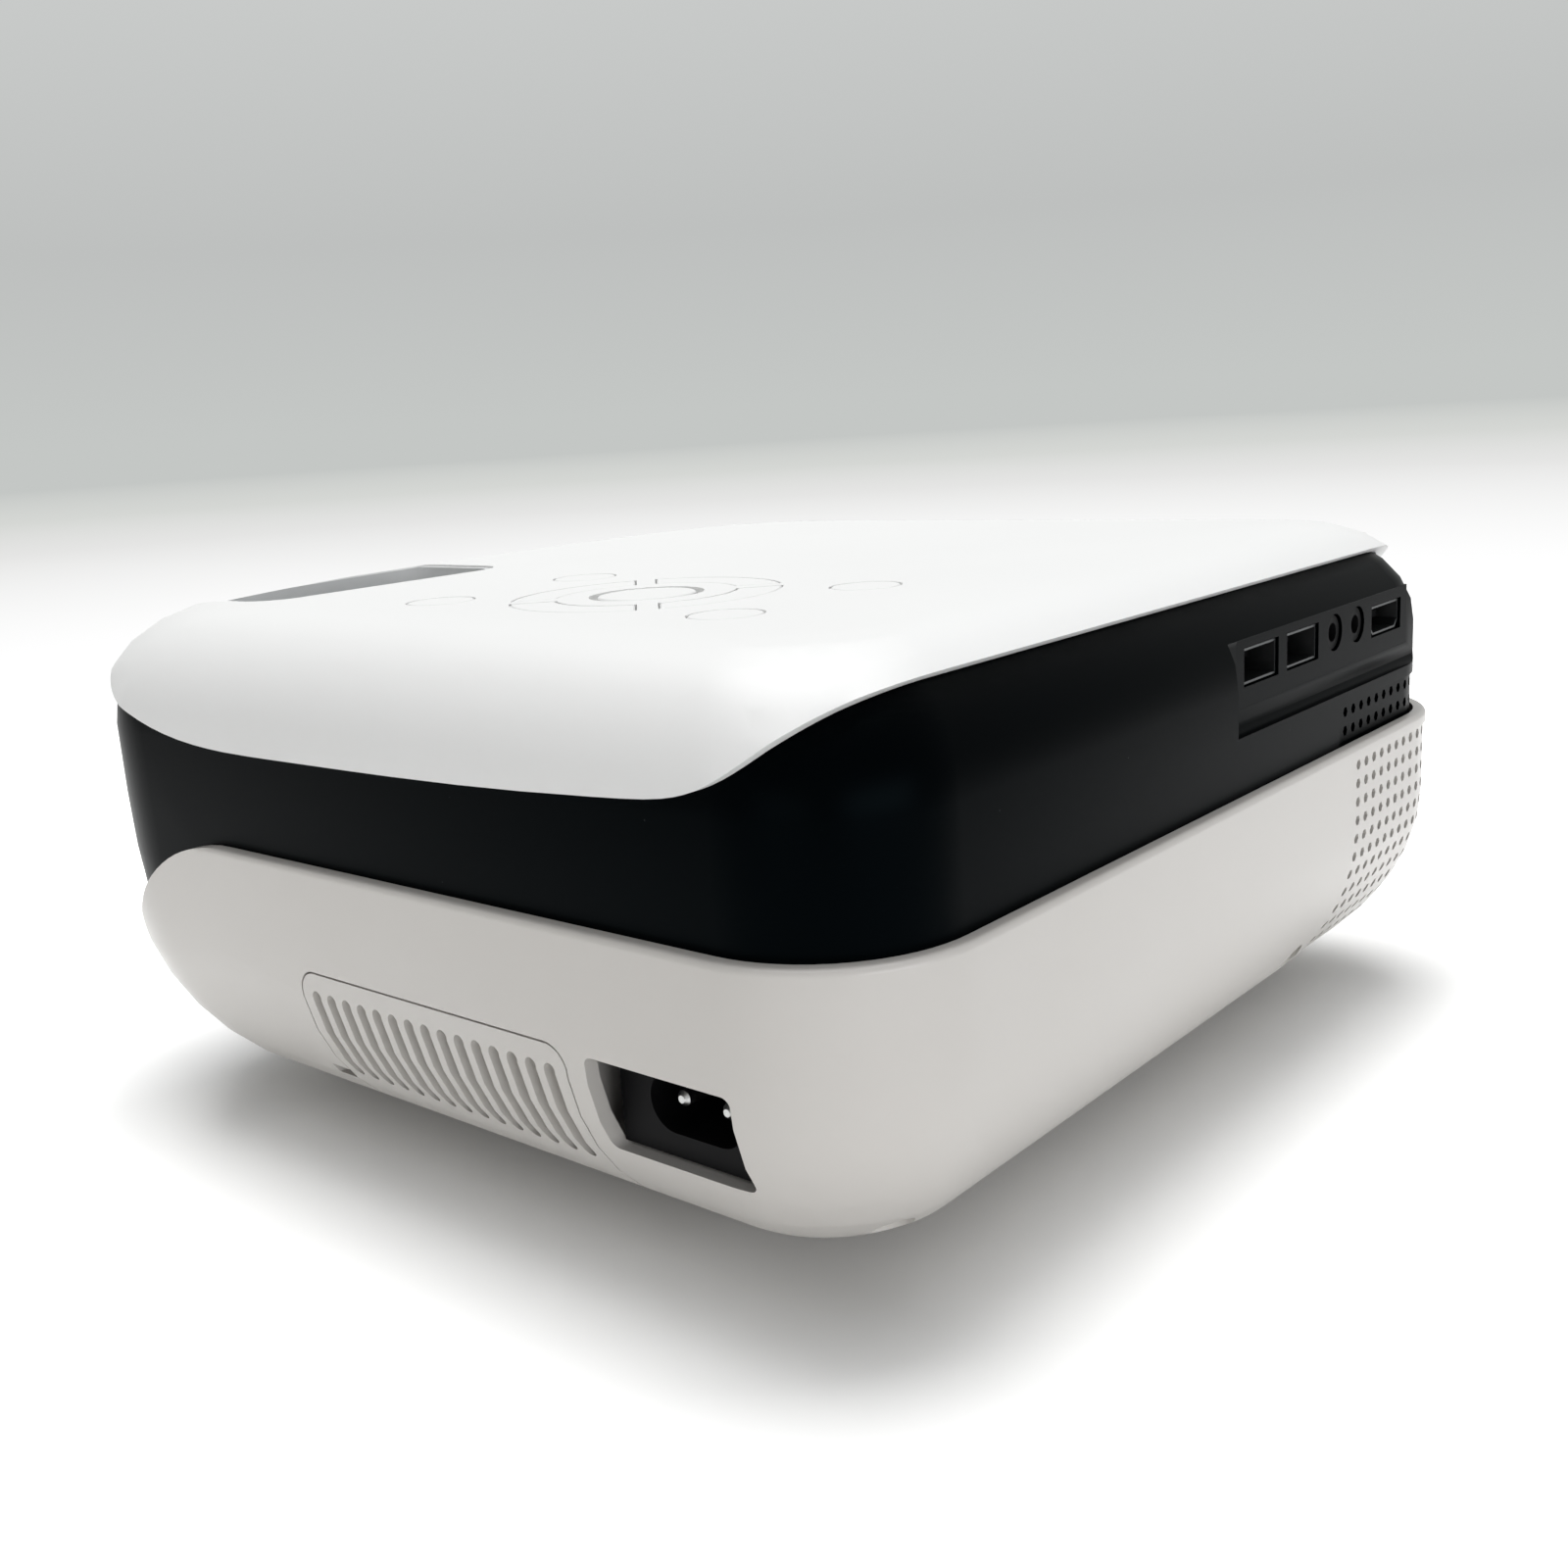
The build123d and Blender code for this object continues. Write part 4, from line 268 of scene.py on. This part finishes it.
extruded_aluminium, tree, shader, place = start_material(
    "extruded_aluminium", "#C4C7C9", roughness=0.38, Metallic=1.0
)
stretch = add_node(tree, "ShaderNodeMapping", {"Scale": (6.0, 6.0, 0.3)}, {"Vector": place})
lines = add_node(
    tree, "ShaderNodeTexNoise", {"Scale": repeats(3)}, {"Vector": stretch.outputs["Vector"]}
)
vary_colour(tree, shader, lines.outputs["Fac"], "#B9BCBE", "#CED0D2")
raise_surface(tree, shader, lines.outputs["Fac"], strength=0.25, depth=0.03)
metals = (galvanised_sheet, nickel_plate, shade_darkened_steel, turned_brass, extruded_aluminium)
print("made", [metal.name for metal in metals])

# %% [markdown]
# ## Circuit boards and the transformer
# A board is glass fibre in epoxy under a green solder mask, which is glossy and shows the copper
# tracks as a lighter green. The transformer's winding is enamelled copper under tape. Its turns
# are about 0.8 mm apart, and are drawn twice as wide. The copper is painted darker in the grooves
# between turns and lighter on their crests: painted shade and painted highlight.

# %% Solder mask over tracks, and enamelled copper
solder_mask, tree, shader, place = start_material("solder_mask", "#1C5A36", roughness=0.3)
tracks = add_node(
    tree,
    "ShaderNodeTexBrick",
    {
        "Color1": hex_colour("#1A5533"),
        "Color2": hex_colour("#20633C"),
        "Mortar": hex_colour("#2F7C4E"),
        "Scale": repeats(4),
        "Mortar Size": 0.05,
    },
    {"Vector": place},
)
tree.links.new(tracks.outputs["Color"], shader.inputs["Base Color"])
raise_surface(tree, shader, tracks.outputs["Fac"], strength=0.3, depth=0.04)

enamelled_copper, tree, shader, place = start_material(
    "enamelled_copper", "#A8622C", roughness=0.35, Metallic=0.9
)
turns = add_node(
    tree, "ShaderNodeTexWave", {"Scale": wave_repeats(1.57)}, {"Vector": place}, bands_direction="Y"
)
# Darker copper in the grooves between turns, lighter on the crests: painted shade and painted
# highlight.
vary_colour(tree, shader, turns.outputs["Fac"], "#8A4A1E", "#C27A3C")
raise_surface(tree, shader, turns.outputs["Fac"], strength=0.5, depth=0.2)
print("made", solder_mask.name, enamelled_copper.name)

# %% [markdown]
# ## Glass, acrylic and the infrared window
# The projection lens is coated glass: nearly clear, with a violet cast where light grazes it. The
# flat lenses in the light path are acrylic with concentric grooves about 0.4 mm apart, drawn at
# 2 mm. The infrared window is acrylic dyed so deep a red that it looks black.

# %% Coated glass, grooved acrylic and dyed acrylic
coated_glass, tree, shader, place = start_material(
    "coated_glass",
    "#DCE4F2",
    roughness=0.03,
    IOR=1.52,
    Transmission_Weight=1.0,
    Coat_Weight=0.6,
    Coat_Roughness=0.02,
)
bloom = add_node(tree, "ShaderNodeLayerWeight", {"Blend": 0.35})
vary_colour(tree, shader, bloom.outputs["Facing"], "#E9EEF6", "#A996D8")

grooved_acrylic, tree, shader, place = start_material(
    "grooved_acrylic", "#EEF2F4", roughness=0.12, IOR=1.49, Transmission_Weight=0.9
)
grooves = add_node(
    tree,
    "ShaderNodeTexWave",
    {"Scale": wave_repeats(1.98)},
    {"Vector": place},
    wave_type="RINGS",
    rings_direction="Y",
)
vary_colour(tree, shader, grooves.outputs["Fac"], "#E6ECEF", "#F6F8F9")
raise_surface(tree, shader, grooves.outputs["Fac"], strength=0.4, depth=0.1)

dyed_acrylic, tree, shader, place = start_material(
    "dyed_acrylic", "#12060A", roughness=0.12, Specular_IOR_Level=0.12
)
depth = add_node(tree, "ShaderNodeLayerWeight", {"Blend": 0.5})
vary_colour(tree, shader, depth.outputs["Facing"], "#1A070C", "#0A0506")
print("made", coated_glass.name, grooved_acrylic.name, dyed_acrylic.name)

# %% [markdown]
# ## One flowing skin
# The housing is moulded as one flowing form, but the CAD exporter writes every face by itself, so
# light would break at each joint between two faces. Remeshing would smooth that and blur the real
# edges too. A small Geometry Nodes modifier instead welds the shared edges and shades smoothly
# across shallow angles only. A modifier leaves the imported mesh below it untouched.

# %% Welded, smoothly shaded skins
SMOOTH_ANGLE = math.radians(32)
WELD_REACH = 0.005
COMPARE_A, COMPARE_B = 0, 1


def welded_skin():
    """Welds the edges that CAD faces share, and shades smooth where they meet at a shallow angle."""
    group = bpy.data.node_groups.new("welded_skin", "GeometryNodeTree")
    for side in ("INPUT", "OUTPUT"):
        group.interface.new_socket("Geometry", in_out=side, socket_type="NodeSocketGeometry")
    bare = add_node(group, "NodeGroupInput").outputs["Geometry"]
    weld = add_node(
        group, "GeometryNodeMergeByDistance", {"Distance": WELD_REACH * MM}, {"Geometry": bare}
    )
    bend = add_node(group, "GeometryNodeInputMeshEdgeAngle")
    crisp = add_node(
        group,
        "FunctionNodeCompare",
        {COMPARE_B: SMOOTH_ANGLE},
        {COMPARE_A: bend.outputs["Unsigned Angle"]},
        operation="GREATER_THAN",
    )
    shade = add_node(
        group,
        "GeometryNodeSetMeshNormal",
        {"Remove Custom": True, "Face Sharpness": False},
        {"Mesh": weld.outputs["Geometry"], "Edge Sharpness": crisp.outputs["Result"]},
        mode="SHARPNESS",
    )
    add_node(group, "NodeGroupOutput", None, {"Geometry": shade.outputs["Mesh"]})
    return group


skin_group = welded_skin()
print("smooth below", round(math.degrees(SMOOTH_ANGLE)), "degrees")

# %% [markdown]
# ## Which piece has which finish
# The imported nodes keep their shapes. Each swaps the plain colour it came with for its finish, and
# gets the skin modifier. One table says which finish a piece has, so it is easy to try another.

# %% Hand out the finishes
FINISHES = {
    etched_white_abs: [
        "top_cover", "ok_button", "key_left", "key_down", "key_right", "key_up",
        "power_button", "source_button", "menu_button", "back_button",
    ],
    satin_white_abs: ["lower_shell", "speaker_grille", "exhaust_grille", "filter_cover"],
    black_lacquer: ["middle_shell", "port_panel", "band_grille", "tray_bezel", "eject_button"],
    matt_grey_abs: ["window_bezel"],
    black_nylon: [
        "lens_bezel", "levelling_foot", "lens_housing", "lens_barrel", "focus_ring", "keystone_ring",
        "light_tunnel", "intake_fan_frame", "intake_fan_rotor", "exhaust_fan_frame",
        "exhaust_fan_rotor", "disc_tray", "spindle_hub", "laser_sled",
    ],
    black_pbt: ["audio_jacks", "socket_tongues", "power_inlet"],
    silicone_rubber: ["rubber_feet"],
    reticulated_foam: ["dust_filter"],
    pressed_paper: ["speaker"],
    galvanised_sheet: ["drive_chassis", "tray_rails", "spindle_motor", "sled_rods", "case_screws"],
    nickel_plate: ["inlet_pins"],
    shade_darkened_steel: ["socket_shells"],
    turned_brass: ["tripod_insert"],
    extruded_aluminium: ["heat_sink", "led_board"],
    solder_mask: ["key_board", "main_board", "power_board"],
    enamelled_copper: ["power_transformer"],
    coated_glass: ["front_lens", "rear_lens", "condenser_lens", "lcd_panel"],
    grooved_acrylic: ["fresnel_lenses"],
    dyed_acrylic: ["ir_window"],
}
dressed = 0
for finish, nodes in FINISHES.items():
    for name in nodes:
        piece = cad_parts[name]
        for slot in piece.material_slots:
            slot.material = finish
        piece.modifiers.new("welded_skin", "NODES").node_group = skin_group
        dressed += 1
print("dressed", dressed, "of", len(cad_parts))

# %% [markdown]
# ## What the camera sees, and what only lights
# A white studio has to look white to the camera, to mirrors and through glass, while the light on
# the object stays at a plain level. The Light Path node tells these rays apart from the ones that
# only carry light. Two more small tools ease from 0 to 1 and multiply.

# %% Tools for the studio


def seen_directly(tree):
    """1 where the camera, a reflection or a view through glass looks, 0 for light that only fills."""
    ray = add_node(tree, "ShaderNodeLightPath")
    seen = ray.outputs["Is Camera Ray"]
    for kind in ("Is Glossy Ray", "Is Transmission Ray"):
        either = add_node(
            tree, "ShaderNodeMath", None, {0: seen, 1: ray.outputs[kind]}, operation="MAXIMUM"
        )
        seen = either.outputs["Value"]
    return seen


def ease(tree, value, start, end):
    """0 below start, 1 above end, and an S-shaped passage between them."""
    node = add_node(
        tree,
        "ShaderNodeMapRange",
        {"From Min": start, "From Max": end},
        {"Value": value},
        interpolation_type="SMOOTHSTEP",
    )
    return node.outputs["Result"]


def times(tree, first, second):
    """The product of two sockets."""
    node = add_node(tree, "ShaderNodeMath", None, {0: first, 1: second}, operation="MULTIPLY")
    return node.outputs["Value"]


# %% [markdown]
# ## The floor
# A product like this is often photographed on white paper. The floor is a large disc with a diffuse
# white skin, faintly clouded as paper is, and it takes the object's shadow.

# %% A disc of white paper
FLOOR_RADIUS = 12.0
FLOOR_SIDES = 96

bpy.ops.mesh.primitive_circle_add(vertices=FLOOR_SIDES, radius=FLOOR_RADIUS, fill_type="NGON")
floor = bpy.context.object
floor.name = "paper_floor"
paper = bpy.data.materials.new("white_paper")
paper.use_nodes = True
tree = paper.node_tree
tree.nodes.clear()
out = add_node(tree, "ShaderNodeOutputMaterial")
place = add_node(tree, "ShaderNodeTexCoord").outputs["Object"]
seen = seen_directly(tree)
fibre = add_node(tree, "ShaderNodeTexNoise", {"Scale": repeats(25), "Detail": 4.0}, {"Vector": place})
paper_tone = add_node(
    tree,
    "ShaderNodeMix",
    {MIX_A: hex_colour("#F8F8F7"), MIX_B: hex_colour("#FCFCFB")},
    {MIX_FACTOR: fibre.outputs["Fac"]},
    data_type="RGBA",
)
skin = add_node(tree, "ShaderNodeBsdfDiffuse", None, {"Color": paper_tone.outputs[MIX_RESULT]})
floor.data.materials.append(paper)
print("floor radius", FLOOR_RADIUS)

# %% [markdown]
# ## White, but not in the shadow
# Such paper is lit until it is pure white. More lamps would burn out the lid, so the paper gets a
# little light of its own, which only the rays that see it count. It grows with the distance from
# the object's footprint, so the shadow keeps its depth. Both lengths are in millimetres and come
# from comparing the shadow with the photograph.

# %% A glow that spares the shadow
FOOTPRINT = (78, 76, 0)
GLOW_REACH = 75
PAPER_GLOW = 0.75

folded = add_node(tree, "ShaderNodeVectorMath", None, {0: place}, operation="ABSOLUTE")
beyond = add_node(
    tree,
    "ShaderNodeVectorMath",
    {1: [half * MM for half in FOOTPRINT]},
    {0: folded.outputs["Vector"]},
    operation="SUBTRACT",
)
outside = add_node(
    tree, "ShaderNodeVectorMath", {1: (0, 0, 0)}, {0: beyond.outputs["Vector"]}, operation="MAXIMUM"
)
gap = add_node(tree, "ShaderNodeVectorMath", None, {0: outside.outputs["Vector"]}, operation="LENGTH")
clear_of_shadow = ease(tree, gap.outputs["Value"], 0.0, GLOW_REACH * MM)
glow = add_node(
    tree,
    "ShaderNodeEmission",
    {"Color": (PAPER_GLOW, PAPER_GLOW, PAPER_GLOW, 1.0)},
    {"Strength": times(tree, clear_of_shadow, seen)},
)
near = add_node(
    tree, "ShaderNodeAddShader", None, {0: skin.outputs["BSDF"], 1: glow.outputs["Emission"]}
)
print("glow begins", FOOTPRINT[:2], "mm from the middle and is full", GLOW_REACH, "mm further out")

# %% [markdown]
# ## Into the distance
# Far from the object the paper leaves the lamps' reach, turns plain white for the eye and then
# passes into the grey of the room. The radii are in metres, and the greys between are part of the
# way from the first radius to the second.

# %% The passage from paper to room
OPEN_START, OPEN_END = 0.35, 0.9
FADE_START, FADE_END = 0.9, 5.5
PURE_WHITE, ROOM_GREY = "#FFFFFF", "#C4C7C5"
GREYS_BETWEEN = {0.24: "#E5E5E4", 0.46: "#D5D7D4"}

distance = add_node(tree, "ShaderNodeVectorMath", None, {0: place}, operation="LENGTH").outputs["Value"]
fade = add_node(
    tree, "ShaderNodeMapRange", {"From Min": FADE_START, "From Max": FADE_END}, {"Value": distance}
)
greys = add_node(tree, "ShaderNodeValToRGB", None, {"Fac": fade.outputs["Result"]})
stops = greys.color_ramp.elements
stops[0].color, stops[1].color = hex_colour(PURE_WHITE), hex_colour(ROOM_GREY)
for position, colour in GREYS_BETWEEN.items():
    stops.new(position).color = hex_colour(colour)
far = add_node(tree, "ShaderNodeEmission", {"Strength": 1.0}, {"Color": greys.outputs["Color"]})
blend = add_node(
    tree,
    "ShaderNodeMixShader",
    None,
    {
        0: times(tree, ease(tree, distance, OPEN_START, OPEN_END), seen),
        1: near.outputs["Shader"],
        2: far.outputs["Emission"],
    },
)
tree.links.new(blend.outputs["Shader"], out.inputs["Surface"])
print("grey from", FADE_START, "to", FADE_END, "metres")

# %% [markdown]
# ## The room
# The world does two jobs. What the camera and shiny surfaces see is a plain grey that darkens a
# little above the horizon and lightens again higher up, as a wall does behind a lit table. What
# lights the object is an even, slightly cool white, like daylight from all round.

# %% Room light and backdrop
SKY_LIGHT = 0.21
WALL_GREY, HIGH_GREY = "#BEC0BF", "#CBCDCC"
WALL_HEIGHT, TOP_HEIGHT = 0.1, 0.26

world = bpy.data.worlds.new("plain_room")
bpy.context.scene.world = world
world.use_nodes = True
tree = world.node_tree
tree.nodes.clear()
out = add_node(tree, "ShaderNodeOutputWorld")
direction = add_node(tree, "ShaderNodeTexCoord").outputs["Generated"]
axes = add_node(tree, "ShaderNodeSeparateXYZ", None, {"Vector": direction})
sweep = add_node(tree, "ShaderNodeValToRGB", None, {"Fac": axes.outputs["Z"]})
stops = sweep.color_ramp.elements
stops[0].position, stops[0].color = 0.0, hex_colour(ROOM_GREY)
stops[1].position, stops[1].color = TOP_HEIGHT, hex_colour(HIGH_GREY)
stops.new(WALL_HEIGHT).color = hex_colour(WALL_GREY)
backdrop = add_node(tree, "ShaderNodeBackground", {"Strength": 1.0}, {"Color": sweep.outputs["Color"]})
daylight = add_node(
    tree, "ShaderNodeBackground", {"Color": hex_colour("#F6F9FA"), "Strength": SKY_LIGHT}
)
choice = add_node(
    tree,
    "ShaderNodeMixShader",
    None,
    {0: seen_directly(tree), 1: daylight.outputs["Background"], 2: backdrop.outputs["Background"]},
)
tree.links.new(choice.outputs["Shader"], out.inputs["Surface"])
print("sky light", SKY_LIGHT)

# %% [markdown]
# ## Soft lamps
# One large softbox hangs above and a little behind the object, so the lid is bright and a soft
# shadow falls towards the camera on both near sides. Two wide, low ones fill those sides: light that
# skims the floor hardly washes out the shadow. The one on the socket side is stronger, and it also
# puts the broad soft highlight on the band's near corner.

# %% Softboxes


def softbox(name, where, aim, width, height, watts, colour="#FFFFFF"):
    """A rectangular area lamp, turned to face a point."""
    lamp = bpy.data.lights.new(name, "AREA")
    lamp.shape = "RECTANGLE"
    lamp.size, lamp.size_y = width, height
    lamp.energy = watts
    lamp.color = hex_colour(colour)[:3]
    holder = bpy.data.objects.new(name, lamp)
    bpy.context.scene.collection.objects.link(holder)
    holder.location = where
    holder.rotation_euler = (Vector(aim) - Vector(where)).to_track_quat("-Z", "Y").to_euler()


softbox("softbox_above", where=(-0.15, -0.2, 1.3), aim=(0, 0, 0.05), width=1.0, height=1.0, watts=15.0)
softbox(
    "softbox_sockets",
    where=(0.35, 1.35, 0.26),
    aim=(0, 0.05, 0.05),
    width=1.1,
    height=0.4,
    watts=5.2,
    colour="#FBFCFF",
)
softbox(
    "softbox_filter",
    where=(1.35, 0.35, 0.24),
    aim=(0.05, 0, 0.05),
    width=0.8,
    height=0.4,
    watts=1.7,
    colour="#FFFBF8",
)

# %% [markdown]
# ## The camera
# The lens, place and tilt come from matching straight edges of the object in the photograph: the
# eye is low, close to the corner between the filter side and the socket side, and leans a little.

# %% Camera at the photographer's place
SENSOR_MM = 36.0
FOCAL_MM = 37.638
EYE = Vector((250.47, 218.12, 128.59)) * MM
YAW, PITCH, ROLL = (math.radians(angle) for angle in (49.2658, 13.0924, 3.5999))
look = Vector((-math.cos(PITCH) * math.sin(YAW), -math.cos(PITCH) * math.cos(YAW), -math.sin(PITCH)))
level_right = look.cross(Vector((0, 0, 1))).normalized()
level_down = look.cross(level_right)
right = math.cos(ROLL) * level_right + math.sin(ROLL) * level_down
down = math.cos(ROLL) * level_down - math.sin(ROLL) * level_right
camera_data = bpy.data.cameras.new("camera")
camera_data.sensor_width = SENSOR_MM
camera_data.lens = FOCAL_MM
camera_data.clip_start = 1 * MM
camera = bpy.data.objects.new("camera", camera_data)
bpy.context.scene.collection.objects.link(camera)
turn = Matrix((right, -down, -look)).transposed()
camera.matrix_world = Matrix.Translation(EYE) @ turn.to_4x4()
bpy.context.scene.camera = camera
bpy.context.scene.view_settings.view_transform = "Standard"
print("camera", [round(v, 4) for v in camera.location])
